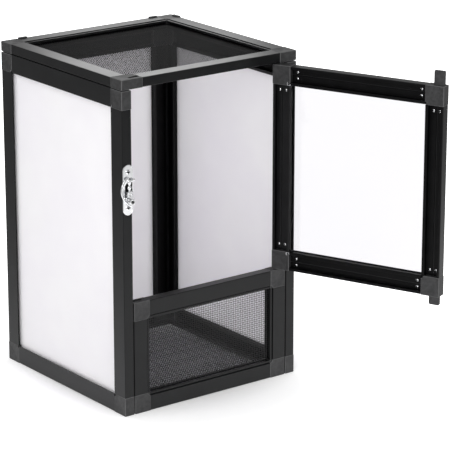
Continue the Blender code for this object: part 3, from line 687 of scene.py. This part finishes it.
def net_strand(name, dark, light, roughness, ior):
    """Black fibreglass yarn coated with PVC and woven.

    The lid's and the floor's are dull. The front's coat is glossier, with a glint on every crossing, and is
    painted a lighter grey as painted light, for the stronger light that falls on the front.
    """
    material, tree, shader, place = new_material(name)
    cloud = add(tree, "ShaderNodeTexNoise", {"Vector": place, "Scale": 300.0, "Detail": 2.0})
    colour = blend_colours(tree, cloud.outputs["Fac"], dark, light)
    set_inputs(tree, shader, {"Base Color": colour, "Roughness": roughness, "IOR": ior})
    return material


def bright_metal(name, colour, roughness, scratch):
    """A bright metal finish, with fine polishing marks of the given strength in its roughness."""
    material, tree, shader, place = new_material(name)
    marks = add(tree, "ShaderNodeTexNoise", {"Vector": place, "Scale": 900.0, "Detail": 3.0})
    spread = {"Value": marks.outputs["Fac"], "To Min": roughness - scratch, "To Max": roughness + scratch}
    rough = add(tree, "ShaderNodeMapRange", spread).outputs["Result"]
    set_inputs(tree, shader, {"Roughness": rough, "Base Color": linear(colour), "Metallic": 1.0})
    return material


BAR = satin_bar()
DULL_BLACK_AND_SHADE = dull_black_and_shade()
BLOCK = moulded_block()
SHEET = white_sheet()
CLEAR = clear_sheet()
NET = net_strand("dull_coated_fibreglass_yarn", "#050506", "#0D0D0E", 0.6, 1.12)
# Painted light: the front's strands are a lighter grey copy of the same black yarn
FRONT_NET_PAINTED_LIGHTER = net_strand("glossy_coated_fibreglass_yarn", "#141415", "#202021", 0.35, 1.5)
# Chrome plate on pressed steel: near white, mirror-like
CHROME = bright_metal("chromium_plated_steel", "#F3F4F6", 0.10, 0.04)
# Zinc-plated screws: brushed by tumbling, a little softer than the chrome
ZINC = bright_metal("zinc_plated_screw", "#D9DADC", 0.24, 0.05)


def frame_nodes(prefix, seat):
    """A frame's bars and blocks, by where their middles lie: 0, 1 or 2 across it and up it."""
    endings = ("_rail", "_stile", "_block", "_ring")
    names = [n for n in frame["nodes"] if n.startswith(prefix + "_") and n.endswith(endings)]
    boxes = {name: local_box(name, seat) for name in names}
    low = np.min([box[0] for box in boxes.values()], axis=0)
    high = np.max([box[1] for box in boxes.values()], axis=0)
    places = {}
    for name, (start, end) in boxes.items():
        part = np.minimum(((start + end) / 2 - low) / (high - low) * 3, 2).astype(int)
        places[(part[0], part[2])] = name
    return places, boxes, low, high


def node_at(places, column, row):
    """The node at one of a frame's nine places, or the joined one that covers it."""
    return places.get((column, row)) or places.get((column, 1)) or places[(1, 1)]


def make_frame(prefix, seat, body, bar_width, kind):
    """Makes a frame's four bars and four corner blocks in place of its nodes.

    The bars' ends come from the nodes where each bar has its own. Where a stile and its blocks are
    one node, a block is as wide as the bar.
    """
    places, boxes, low, high = frame_nodes(prefix, seat)
    ends = {}
    for along, place, side in FRAME_BARS:
        box = boxes.get(places.get(place))
        if box is None or box[0][along] < low[along] + bar_width / 2:
            ends[place] = low[along] + bar_width, high[along] - bar_width
        else:
            ends[place] = box[0][along], box[1][along]
        across = 2 - along
        first = place[across // 2] == 0
        edge = low[across] if first else high[across]
        inner = edge + bar_width if first else edge - bar_width
        style = "hinge" if kind == "door" and side == "second_stile" else kind
        depth = high[1] - low[1]
        *shell, lit_or_shaded = bar_shell(seat, edge, inner, *ends[place], along, low[1], depth, style)
        nodes = [node_at(places, *place)]
        # The faces where shade falls take the painted shade's black
        make_piece(f"{prefix}_frame_{side}", *shell, body, (BAR, DULL_BLACK_AND_SHADE), "bar", nodes, indices=lit_or_shaded)
    make_blocks(prefix, seat, body, places, low, high, ends)


def make_blocks(prefix, seat, body, places, low, high, ends):
    """The four corner blocks, from the frame's corners to the ends of its bars.

    The lower frame's blocks stay back from the side frames, and the side and back frames' upper
    blocks from the lid.
    """
    aside = SEAM_GAP if prefix == "lower" else 0
    top = SEAM_GAP if prefix in ("left", "right", "back") else 0
    for column, row in ((0, 0), (2, 0), (0, 2), (2, 2)):
        rail, stile = ends[1, row], ends[column, 1]
        x = (low[0] + aside, rail[0]) if column == 0 else (rail[1], high[0] - aside)
        z = (low[2], stile[0]) if row == 0 else (stile[1], high[2] - top)
        node = node_at(places, column, row)
        corners = (x[0], low[1], z[0]), (x[1], high[1], z[1])
        # Each block brings the weights of its painted edge highlight
        *shell, wear = block_shell(seat, *corners, (column == 0, row == 0), bolt_guide(node, seat))
        level, side = "low" if row == 0 else "high", "first" if column == 0 else "second"
        name = f"{prefix}_frame_corner_{level}_{side}"
        make_piece(name, *shell, body, BLOCK, "block", [node], wear=wear)


def bolt_guide(node, seat):
    """The box, along a frame's directions, in which a bolt slides through a block, or nothing.

    In the lid and the lower frame it is where the bolts of the shut door come to lie.
    """
    ends = {
        "door_upper_free_block": "upper",
        "door_lower_free_block": "lower",
        "lid_front_left_block": "upper",
        "lower_top_left_block": "lower",
    }
    if node not in ends:
        return None
    end = ends[node]
    low, high = local_box(f"door_{end}_bolt", DOOR)
    high[0] += BOLT_EXTRA_WIDTH
    travel = BOLT_TRAVEL[end] + BLOCK_OVERRUN
    if node.startswith("door"):
        low[2] -= travel if end == "upper" else BLOCK_OVERRUN
        high[2] += travel if end == "lower" else BLOCK_OVERRUN
        return low - BOLT_PLAY, high + BOLT_PLAY
    hinge = np.array(frame["joints"][0]["pos_m"])
    corners = np.array([low, high]) + hinge - hinge @ DOOR.T
    if end == "upper":
        corners[0, 2] -= travel
    else:
        corners[1, 2] += travel
    corners = corners @ seat.T
    return corners.min(axis=0) - BOLT_PLAY, corners.max(axis=0) + BOLT_PLAY


def net_strands(low, high, along, spacing, share):
    """One direction of a woven net: side-by-side strands that wave over and under the others.

    The strand at offset p runs along t, at the depth d + w s cos(pi t / pitch), with s = 1 and -1 on
    alternate strands. Its section is a flat diamond, whose width is a share of the pitch.
    """
    other = 2 - along
    spans = np.maximum(np.round((high - low) / spacing), 1).astype(int)
    pitch = (high - low) / spans
    depth = (low[1] + high[1]) / 2
    width = share * pitch[other]
    offsets = low[other] + pitch[other] * (np.arange(spans[other]) + 0.5)
    steps = np.arange(spans[along] + 1)
    wave = WAVE_SHARE * spacing * (-1.0) ** steps * (1 if along == 0 else -1)
    sign = (-1.0) ** np.arange(spans[other])
    section = np.array([(-0.5, 0.0), (0.0, -0.5), (0.5, 0.0), (0.0, 0.5)])
    rings = np.zeros((len(offsets), len(steps), len(section), 3))
    rings[..., along] = (low[along] + pitch[along] * steps)[None, :, None]
    rings[..., other] = offsets[:, None, None] + width * section[:, 0]
    rings[..., 1] = depth + (sign[:, None] * wave)[..., None] + THICKNESS_SHARE * spacing * section[:, 1]
    return rings


def make_net(prefix, seat):
    """Makes a net's warp and weft in place of its coarse node, between the bars' grooves."""
    node = f"{prefix}_net"
    low, high = local_box(node, seat)
    inset = np.array([NET_INSET, 0, NET_INSET])
    for along, side in ((0, "weft"), (2, "warp")):
        rings = net_strands(low + inset, high - inset, along, NET_PITCH[prefix], STRAND_SHARE[prefix])
        shell = shells(rings @ seat)
        material = FRONT_NET_PAINTED_LIGHTER if prefix == "lower" else NET
        make_piece(f"{prefix}_screen_{side}", *shell, "cage", material, "net", [node], smooth=100)


def make_floor_rim():
    """The slim rim round the floor's net: a rounded bar carried round the square, with mitred corners.

    The section's point at a distance u in from the outer edge lies at each corner at that distance
    in from both sides.
    """
    low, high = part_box("floor_ring")
    corners = box_corners((0, low[2]), (RIM_WIDTH, high[2]))
    section = outline(corners, RIM_RADIUS, steps=3)
    square = np.array(box_corners(low[:2], high[:2]))
    inward = np.array([(1, 1), (-1, 1), (-1, -1), (1, -1)])
    rings = np.empty((4, len(section), 3))
    rings[:, :, :2] = square[:, None, :] + section[None, :, :1] * inward[:, None, :]
    rings[:, :, 2] = section[:, 1]
    make_piece("floor_rim", *shells(rings, loop=True), "cage", BAR, "bar", ["floor_ring"])


def turned_shell(profile, centre, axis, loop=False):
    """A turned part: the profile's (radius, height) pairs carried round an axis through centre.

    The point at radius r, height h and angle a is centre + h axis + r (e cos a + f sin a), where e
    and f are square to the axis. A profile starts and ends close to the axis, or loops as a ring's.
    """
    axis, e, f = square_to(axis)
    profile = np.array(profile)[..., None, None]
    angle = np.linspace(0, 2 * math.pi, TURNED_SIDES, endpoint=False)[:, None]
    circle = np.cos(angle) * e + np.sin(angle) * f
    return shells(centre + profile[:, 1] * axis + profile[:, 0] * circle, loop)


def screw_shell(centre, axis, radius, height):
    """A domed screw head with a cross recess, and which of its faces lie in the recess.

    Over the radius r and the angle a its height is h (1 - fall (r/R)^2), less the recess where the
    point lies within half a slot's width of either of the cross's two lines. The cross grows with
    the head.
    """
    scale = radius / SCREW_RADIUS
    share = np.array(SCREW_RINGS)[:, None]
    angle = np.linspace(0, 2 * math.pi, SCREW_SIDES, endpoint=False)
    x, y = radius * share * np.cos(angle), radius * share * np.sin(angle)
    near = np.minimum(np.abs(x), np.abs(y))
    inside = (near < CROSS_HALF_WIDTH * scale) & (radius * share < CROSS_REACH * scale)
    top = height * (1 - DOME_FALL * share**2) - CROSS_DEPTH * scale * inside
    top[-1] = 0
    axis, e, f = square_to(axis)
    points, faces = shells(np.array(centre) + top[..., None] * axis + x[..., None] * e + y[..., None] * f)
    middle = np.array([points[face].mean(axis=0) for face in faces]) - centre
    above = middle @ axis
    beside = np.linalg.norm(middle - above[:, None] * axis, axis=1)
    dome = height * (1 - DOME_FALL * (beside / radius) ** 2)
    recess = (above < dome - RECESS_SHARE * CROSS_DEPTH * scale) & (beside < CROSS_REACH * scale)
    return points, faces, recess.astype(np.int32)


def make_door_screws():
    """Two screws at each end of each door bar, on the floor of the inner face's channel."""
    places, boxes, low, high = frame_nodes("door", DOOR)
    floor = high[1] - PROUD - CHANNEL_DEPTH
    names = {0: ("first", "second"), 2: ("low", "high")}
    for along, place, bar in FRAME_BARS:
        box = boxes[places[place]]
        across = 2 - along
        first = place[across // 2] == 0
        side, kind = bar.split("_")
        for end, name in zip((box[0][along] + SCREW_FROM_END, box[1][along] - SCREW_FROM_END), names[along]):
            for number, distance in enumerate(SCREW_FROM_EDGE, 1):
                spot = np.full(3, floor)
                spot[along] = end
                spot[across] = low[across] + distance if first else high[across] - distance
                head = screw_shell(spot @ DOOR, DOOR[1], SCREW_RADIUS, SCREW_HEIGHT)
                screw = f"door_{side}_{kind}_screw_{name}_{number}"
                # The cross recess's faces take the painted shade's black
                make_piece(screw, *head[:2], "door", (ZINC, DULL_BLACK_AND_SHADE), "steel", smooth=50, indices=head[2])


def make_bolt(name, node, body, up, chamfer):
    """A sliding bolt: a rounded rectangle carried along Z, with its free end rounded or chamfered."""
    low, high = local_box(node, DOOR)
    corners = box_corners((low[0], low[1]), (high[0] + BOLT_EXTRA_WIDTH, high[1]))
    angles = np.linspace(0, math.pi / 2, FILLET_RINGS)
    slope = np.linspace(0, 1, FILLET_RINGS)
    rise, shrink = (slope, 1 - slope) if chamfer else (1 - np.cos(angles), 1 - np.sin(angles))
    free, held = (high[2], low[2]) if up else (low[2], high[2])
    edge = -BOLT_EDGE if up else BOLT_EDGE
    insets = zip(BOLT_EDGE * shrink, free + edge * rise)
    stack = [(outline(corners, BOLT_RADIUS, inset), level) for inset, level in insets]
    stack.append((outline(corners, BOLT_RADIUS), held))
    make_piece(name, *shells(stacked(stack, 2) @ DOOR), body, BLOCK, "block", [node])


def stem_shell(path, widths, depths, middles, power=2.0, sides=24):
    """A stem that follows a path in a plane facing the front.

    At each station the section is the curve x = w sgn(cos a) |cos a|^(2/n), y = d sgn(sin a)
    |sin a|^(2/n), with x across the path and y towards the back: an ellipse for the power n = 2 and
    a rounded ribbon for 4.
    """
    path = np.asarray(path, dtype=float)
    run = np.gradient(path, axis=0)
    run /= np.linalg.norm(run, axis=1)[:, None]
    angle = np.linspace(0, 2 * math.pi, sides, endpoint=False)
    c = np.sign(np.cos(angle)) * np.abs(np.cos(angle)) ** (2 / power)
    s = np.sign(np.sin(angle)) * np.abs(np.sin(angle)) ** (2 / power)
    widths = np.asarray(widths)[:, None]
    rings = np.empty((len(path), sides, 3))
    rings[..., 0] = path[:, :1] + run[:, 1:] * widths * c
    rings[..., 1] = np.asarray(middles)[:, None] + np.asarray(depths)[:, None] * s
    rings[..., 2] = path[:, 1:] - run[:, :1] * widths * c
    return shells(rings)


def smooth_path(points, count):
    """A smooth curve through the points' rows: each value is a cubic in the row's number.

    Between rows i and i + 1 it has their values and, as slopes, half the gap between the rows on
    either side.
    """
    points = np.asarray(points, dtype=float)
    slope = np.gradient(points, axis=0)
    t = np.linspace(0, len(points) - 1, count)
    row = np.minimum(t.astype(int), len(points) - 2)
    u = (t - row)[:, None]
    start, end = points[row], points[row + 1]
    first, last = slope[row], slope[row + 1]
    near = (1 + 2 * u) * (1 - u) ** 2 * start + u * (1 - u) ** 2 * first
    far = u**2 * (3 - 2 * u) * end + u**2 * (u - 1) * last
    return near + far


def pill(half_width, half_height, steps=10):
    """A pill's outline about the origin, anticlockwise: two half circles joined by straight sides."""
    rise = half_height - half_width
    top = np.linspace(0, math.pi, steps + 1)
    ends = [(top, rise), (top + math.pi, -rise)]
    arcs = [np.column_stack([half_width * np.cos(a), half_width * np.sin(a) + z]) for a, z in ends]
    return np.concatenate(arcs)


def middle_of(node):
    """The middle of a node's box at rest."""
    return np.mean(np.array(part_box(node)), axis=0)


def make_plate():
    """The latch's plate: a pill with a rounded edge and a shallow dish inside a raised rim.

    A black nylon pad lies in the dish, behind the hook, and a screw stands above and below it.
    """
    low, high = np.array(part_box("hook_plate"))
    centre = middle_of("hook_plate")
    half = (high - centre)[::2]
    front = low[1]
    corner = 0.3 * PLATE_EDGE
    stack = [(0.0, high[1]), (0.0, front + PLATE_EDGE), (corner, front + corner), (PLATE_EDGE, front)]
    stack += [(PLATE_RIM, front), (PLATE_RIM + PLATE_DISH, front + PLATE_DISH)]
    rings = stacked([(pill(*(half - inset)) + centre[::2], y) for inset, y in stack])
    make_piece("latch_plate", *shells(rings), "cage", CHROME, "chrome", ["hook_plate"])
    back = front + 2 * PLATE_DISH
    front += PLATE_DISH - PAD_THICKNESS
    stack = [(0.0, back), (0.0, front + PAD_EDGE), (PAD_EDGE, front)]
    middle = centre[::2] + (PAD_ASIDE, PAD_ABOVE)
    size = np.array([PAD_HALF_WIDTH, PAD_HALF_HEIGHT])
    rings = stacked([(pill(*(size - inset)) + middle, y) for inset, y in stack])
    make_piece("latch_nylon_pad", *shells(rings), "cage", DULL_BLACK_AND_SHADE, "block")
    for end in ("upper", "lower"):
        nodes = [f"{end}_plate_screw"]
        place = middle_of(nodes[0])
        place[1] = centre[1]
        head = screw_shell(place, (0, -1, 0), PLATE_SCREW_RADIUS, PLATE_SCREW_HEIGHT)
        name = f"latch_plate_screw_{end}"
        # The cross recess's faces take the painted shade's black
        make_piece(name, *head[:2], "cage", (CHROME, DULL_BLACK_AND_SHADE), "steel", nodes, smooth=50, indices=head[2])


def make_pivot(axis_place):
    """The pivot's post and its cupped head, with the spring wound round the post."""
    profile = [
        (0.05, 1.75), (1.6, 1.75), (1.6, 18.1), (3.6, 18.15), (4.2, 18.5), (4.3, 19.1),
        (3.9, 19.6), (3.3, 19.75), (2.7, 19.6), (2.4, 19.1), (2.3, 17.9), (0.05, 17.8),
    ]
    points, faces = turned_shell(np.array(profile) * MM, axis_place, (0, -1, 0))
    middle = np.array([points[face].mean(axis=0) for face in faces]) - axis_place
    beside = np.hypot(middle[:, 0], middle[:, 2])
    # The cup's faces take the painted shade's black
    cup = ((beside < CUP_RADIUS) & (middle[:, 1] < -CUP_FLOOR)).astype(np.int32)
    lit_or_shaded = (CHROME, DULL_BLACK_AND_SHADE)
    make_piece("latch_pivot", points, faces, "cage", lit_or_shaded, "chrome", ["hook_pivot"], indices=cup)

    start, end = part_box("hook_spring")[0][1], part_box("hook_spring")[1][1]
    t = np.linspace(0, 1, int(SPRING_TURNS * TURN_STATIONS))[:, None]
    turn = 2 * math.pi * SPRING_TURNS * t
    a = np.linspace(0, 2 * math.pi, WIRE_SIDES, endpoint=False)[None]
    radius = SPRING_RADIUS + SPRING_WIRE * np.cos(a)
    y = start + SPRING_WIRE + (end - start - 2 * SPRING_WIRE) * t + SPRING_WIRE * np.sin(a)
    coil = np.stack([radius * np.cos(turn), y, radius * np.sin(turn)], axis=-1)
    make_piece("latch_spring", *shells(coil + axis_place), "cage", ZINC, "steel", ["hook_spring"], smooth=80)


def make_hook(axis_place):
    """The turning hook: a hub, a waisted stem with a wound collar and a bead, a claw and a bow."""
    base = axis_place[::2]
    corners = box_corners((HUB_HOLE, HOOK_FRONT), (HUB_RADIUS, HOOK_BACK))
    hub = turned_shell(outline(corners, HUB_EDGE, steps=3), axis_place, (0, 1, 0), loop=True)

    rows = smooth_path(np.array(HOOK_STEM) * MM, STEM_STATIONS)
    path = np.column_stack([np.zeros(len(rows)), rows[:, 0]]) + base
    column = stem_shell(path, rows[:, 1], rows[:, 2], rows[:, 3])

    arms = []
    for stations, power in ((HOOK_CLAW, CLAW_POWER), (HOOK_BOW, BOW_POWER)):
        rows = smooth_path(np.array(stations) * MM, ARM_STATIONS)
        arms.append(stem_shell(rows[:, :2] + base, rows[:, 2], rows[:, 3], rows[:, 4], power))
    shell = joined(hub, column, *arms)
    make_piece("latch_hook", *shell, "hook", CHROME, "chrome", ["turn_hook"], smooth=50)


def make_turned(name, node, body, profile, centre, axis):
    """A turned chrome fitting from a profile in millimetres."""
    shell = turned_shell(np.array(profile) * MM, centre, axis)
    make_piece(name, *shell, body, CHROME, "chrome", [node], smooth=45)


def make_fittings():
    """The latch, the stud on the door and the two hinge pins."""
    hook_joint = next(joint for joint in frame["joints"] if joint["name"] == "hook_turn")
    axis_place = np.array(hook_joint["pos_m"])
    axis_place[1] = 0
    make_plate()
    make_pivot(axis_place)
    make_hook(axis_place)

    low, high = local_box("door_stud", DOOR)
    centre = np.array([(low[0] + high[0]) / 2, low[1], (low[2] + high[2]) / 2]) @ DOOR
    stud = [
        (0.05, -12.9), (1.7, -12.9), (1.8, -3.0), (1.9, -2.0), (2.4, -1.6), (3.9, -1.55),
        (4.35, -1.25), (4.35, -0.85), (3.7, -0.35), (2.4, -0.08), (0.05, 0.0),
    ]
    make_turned("latch_stud", "door_stud", "door", stud, centre, -DOOR[1])

    half = [(0.05, 8.0), (1.4, 8.0), (1.75, 7.6), (1.75, 0.45), (3.1, 0.45), (3.4, 0.2)]
    pin = [(r, -h) for r, h in half] + half[::-1]
    for end in ("upper", "lower"):
        node = f"{end}_hinge_pin"
        make_turned(f"{end}_collared_pin", node, "cage", pin, middle_of(node), (0, 0, 1))


def make_clips():
    """A bright bent wire at the panel's corner of each hinge block, which holds the clear sheet."""
    # Rows of place from the block's corner: towards the hinges, and away from the panel, in mm
    bend = np.array([(4.2, 5.2), (4.2, 1.3), (3.5, 0.7), (1.4, 0.7), (0.2, 1.2), (-0.2, 3.0)])
    places, boxes, _, high = frame_nodes("door", DOOR)
    stile = boxes[places[2, 1]]
    radius = np.full(CLIP_STATIONS, CLIP_WIRE)
    radius[[0, -1]] = CLIP_TIP
    middle = np.full(CLIP_STATIONS, high[1] - CLIP_DEPTH)
    for end, side in (("upper", 1), ("lower", -1)):
        rail = boxes[places[1, 1 + side]]
        corner = np.array([rail[1][0], stile[1][2] if side > 0 else stile[0][2]])
        path = smooth_path(corner + bend * MM * (1, side), CLIP_STATIONS)
        points, faces = stem_shell(path, radius, radius, middle, sides=WIRE_SIDES)
        make_piece(f"door_sheet_clip_{end}", points @ DOOR, faces, "door", ZINC, "steel", smooth=80)


def make_lugs():
    """Three low stacking lugs on the lid: rounded pads, two near its back edge and one at its side."""
    _, high = local_box("lid_back_rail", np.eye(3))
    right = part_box("lid_right_rail")[1][0]
    near, far = LUG_FROM_EDGE
    start, end = LUG_FROM_SIDE
    first, last = LUG_FROM_BACK
    places = {
        "left": ((start - right, high[1] - far), (end - right, high[1] - near)),
        "right": ((right - end, high[1] - far), (right - start, high[1] - near)),
        "side": ((right - far, high[1] - last), (right - near, high[1] - first)),
    }
    # Rows of inset and rise above the rail, in mm
    levels = np.array([(0.0, -0.6), (0.0, 0.9), (0.15, 1.3), (0.5, 1.5)]) * MM
    for name, place in places.items():
        corners = box_corners(*place)
        rings = stacked([(outline(corners, LUG_RADIUS, inset), high[2] + rise) for inset, rise in levels], 2)
        make_piece(f"lid_lug_{name}", *shells(rings), "cage", BLOCK, "block")


for prefix, seat, kind in (
    ("left", LEFT, "sheet"),
    ("right", RIGHT, "sheet"),
    ("back", BACK, "sheet"),
    ("lid", LID, "net"),
    ("lower", FRONT, "net"),
):
    make_frame(prefix, seat, "cage", BAR_WIDTH, kind)
make_frame("door", DOOR, "door", DOOR_BAR_WIDTH, "door")
make_floor_rim()
for prefix, seat in (("lid", LID), ("lower", FRONT), ("floor", FLOOR)):
    make_net(prefix, seat)
make_door_screws()
make_fittings()
make_clips()
make_lugs()
make_bolt("door_upper_sliding_bolt", "door_upper_bolt", "upper_bolt", True, False)
make_bolt("door_lower_sliding_bolt", "door_lower_bolt", "lower_bolt", False, True)


def finish_nodes():
    """Gives the nodes that stay in view their materials."""
    for name, obj in frame["nodes"].items():
        material = CLEAR if name.endswith("_clear_sheet") else SHEET
        for slot in obj.material_slots:
            slot.material = material


finish_nodes()


def aimed(name, data, place, back):
    """Puts a camera or a lamp at a place, with its back along a unit direction and its top up."""
    right = np.cross((0, 0, 1.0), back)
    right /= np.linalg.norm(right)
    matrix = np.eye(4)
    matrix[:3] = np.column_stack([right, np.cross(back, right), back, place])
    item = shown(name, data)
    item.matrix_world = matrix.T.tolist()
    return item


def make_camera():
    """The photograph's viewpoint: a long lens from the left, a little above."""
    azimuth, elevation = math.radians(CAMERA_AZIMUTH), math.radians(CAMERA_ELEVATION)
    level = math.cos(elevation)
    back = (math.sin(azimuth) * level, -math.cos(azimuth) * level, math.sin(elevation))
    data = bpy.data.cameras.new("view")
    data.sensor_width = SENSOR_WIDTH
    data.lens = SENSOR_WIDTH * CAMERA_FOCAL_PIXELS / IMAGE_PIXELS
    bpy.context.scene.camera = aimed("view", data, CAMERA_PLACE, back)


def reflected_rays(tree, rays):
    """1 for a ray that a glossy surface reflects. One that passes through the clear sheet gives 0."""
    glossy = {0: rays["Is Glossy Ray"], 1: rays["Is Transmission Ray"]}
    return add(tree, "ShaderNodeMath", glossy, operation="SUBTRACT", use_clamp=True).outputs[0]


def white_paper():
    """White paper that glows for the camera in two steps away from the cage: a little, then fully.

    In reflections only it is a painted pool of light: its glow is painted stronger near the pool and its
    colour painted darker away from it, so the bars are darker higher up.
    """
    material = bpy.data.materials.new("white_paper_floor")
    tree = empty_tree(material)
    place = add(tree, "ShaderNodeTexCoord").outputs["Object"]
    cage, pool = [
        add(tree, "ShaderNodeVectorMath", {0: place, 1: centre}, operation="DISTANCE").outputs["Value"]
        for centre in (CAGE_CENTRE, POOL_CENTRE)
    ]
    rays = add(tree, "ShaderNodeLightPath").outputs
    mirrored = reflected_rays(tree, rays)
    dim = {0: rays["Is Transmission Ray"], 1: THROUGH_GLOW}
    through = add(tree, "ShaderNodeMath", dim, operation="MULTIPLY").outputs[0]
    span = {"From Min": NEAR_CAGE[0], "From Max": NEAR_CAGE[1], "To Max": FLOOR_GLOW}
    start = add(tree, "ShaderNodeMapRange", {"Value": cage, **span}).outputs["Result"]
    span = {"From Min": FAR_FROM_CAGE[0], "From Max": FAR_FROM_CAGE[1], "To Min": start}
    rise = add(tree, "ShaderNodeMapRange", {"Value": cage, **span}).outputs["Result"]
    # Painted light: a glow that only reflections see, strongest at the pool
    span = {"From Min": POOL_SPAN[0], "From Max": POOL_SPAN[1], "To Min": POOL_GLOW, "To Max": 0.0}
    near = add(tree, "ShaderNodeMapRange", {"Value": pool, **span}).outputs["Result"]
    span = {"From Min": SHADE_SPAN[0], "From Max": SHADE_SPAN[1]}
    far = add(tree, "ShaderNodeMapRange", {"Value": pool, **span}).outputs["Result"]
    seen = {0: rays["Is Camera Ray"], 1: rise, 2: through}
    glow = add(tree, "ShaderNodeMath", seen, operation="MULTIPLY_ADD").outputs[0]
    summed = {0: mirrored, 1: near, 2: glow}
    strength = add(tree, "ShaderNodeMath", summed, operation="MULTIPLY_ADD").outputs[0]
    shade = add(tree, "ShaderNodeMath", {0: mirrored, 1: far}, operation="MULTIPLY").outputs[0]
    # Painted shade: in reflections only, the paper's colour darkens away from the pool
    tone = blend_colours(tree, shade, "#F6F6F6", "#A0A0A0", 0.0, 1.0)
    paper = add(tree, "ShaderNodeBsdfDiffuse", {"Color": tone}).outputs[0]
    light = add(tree, "ShaderNodeEmission", {"Color": linear("#FFFFFF"), "Strength": strength}).outputs[0]
    both = add(tree, "ShaderNodeAddShader", {0: paper, 1: light}).outputs[0]
    add(tree, "ShaderNodeOutputMaterial", {"Surface": both})
    return material


def make_floor():
    """A wide floor that keeps the cage's soft shadow, and runs into the white round the picture."""
    corners = box_corners((-FLOOR_HALF, -FLOOR_HALF), (FLOOR_HALF, FLOOR_HALF))
    floor = shape_of("floor_plane", [(x, y, 0.0) for x, y in corners], [(0, 1, 2, 3)])
    floor.data.materials.append(white_paper())


def make_world():
    """White to the camera and through the clear sheet, a little brighter as a light, dim in reflections."""
    world = bpy.data.worlds.new("studio")
    bpy.context.scene.world = world
    tree = empty_tree(world)
    rays = add(tree, "ShaderNodeLightPath").outputs
    either = {0: rays["Is Camera Ray"], 1: rays["Is Transmission Ray"]}
    seen = add(tree, "ShaderNodeMath", either, operation="MAXIMUM").outputs[0]
    level = add(tree, "ShaderNodeMapRange", {"Value": seen, "To Min": SKY_LIGHT, "To Max": 1.0}).outputs[0]
    span = {"Value": reflected_rays(tree, rays), "To Min": level, "To Max": SKY_MIRRORED}
    strength = add(tree, "ShaderNodeMapRange", span).outputs[0]
    sky = add(tree, "ShaderNodeBackground", {"Color": linear("#FFFFFF"), "Strength": strength}).outputs[0]
    add(tree, "ShaderNodeOutputWorld", {"Surface": sky})


def make_lamp(name, place, target, size, power):
    """A square soft light that faces a point."""
    data = bpy.data.lights.new(name, "AREA")
    data.shape = "SQUARE"
    data.size = size
    data.energy = power
    back = np.array(place) - target
    return aimed(name, data, place, back / np.linalg.norm(back))


make_camera()
make_floor()
make_world()
make_lamp("front_light", *FRONT_LIGHT)
glow_card = make_lamp("back_card", *BACK_CARD)
glow_card.visible_diffuse = False
glow_card.visible_camera = False

bpy.context.scene.view_settings.view_transform = "Standard"
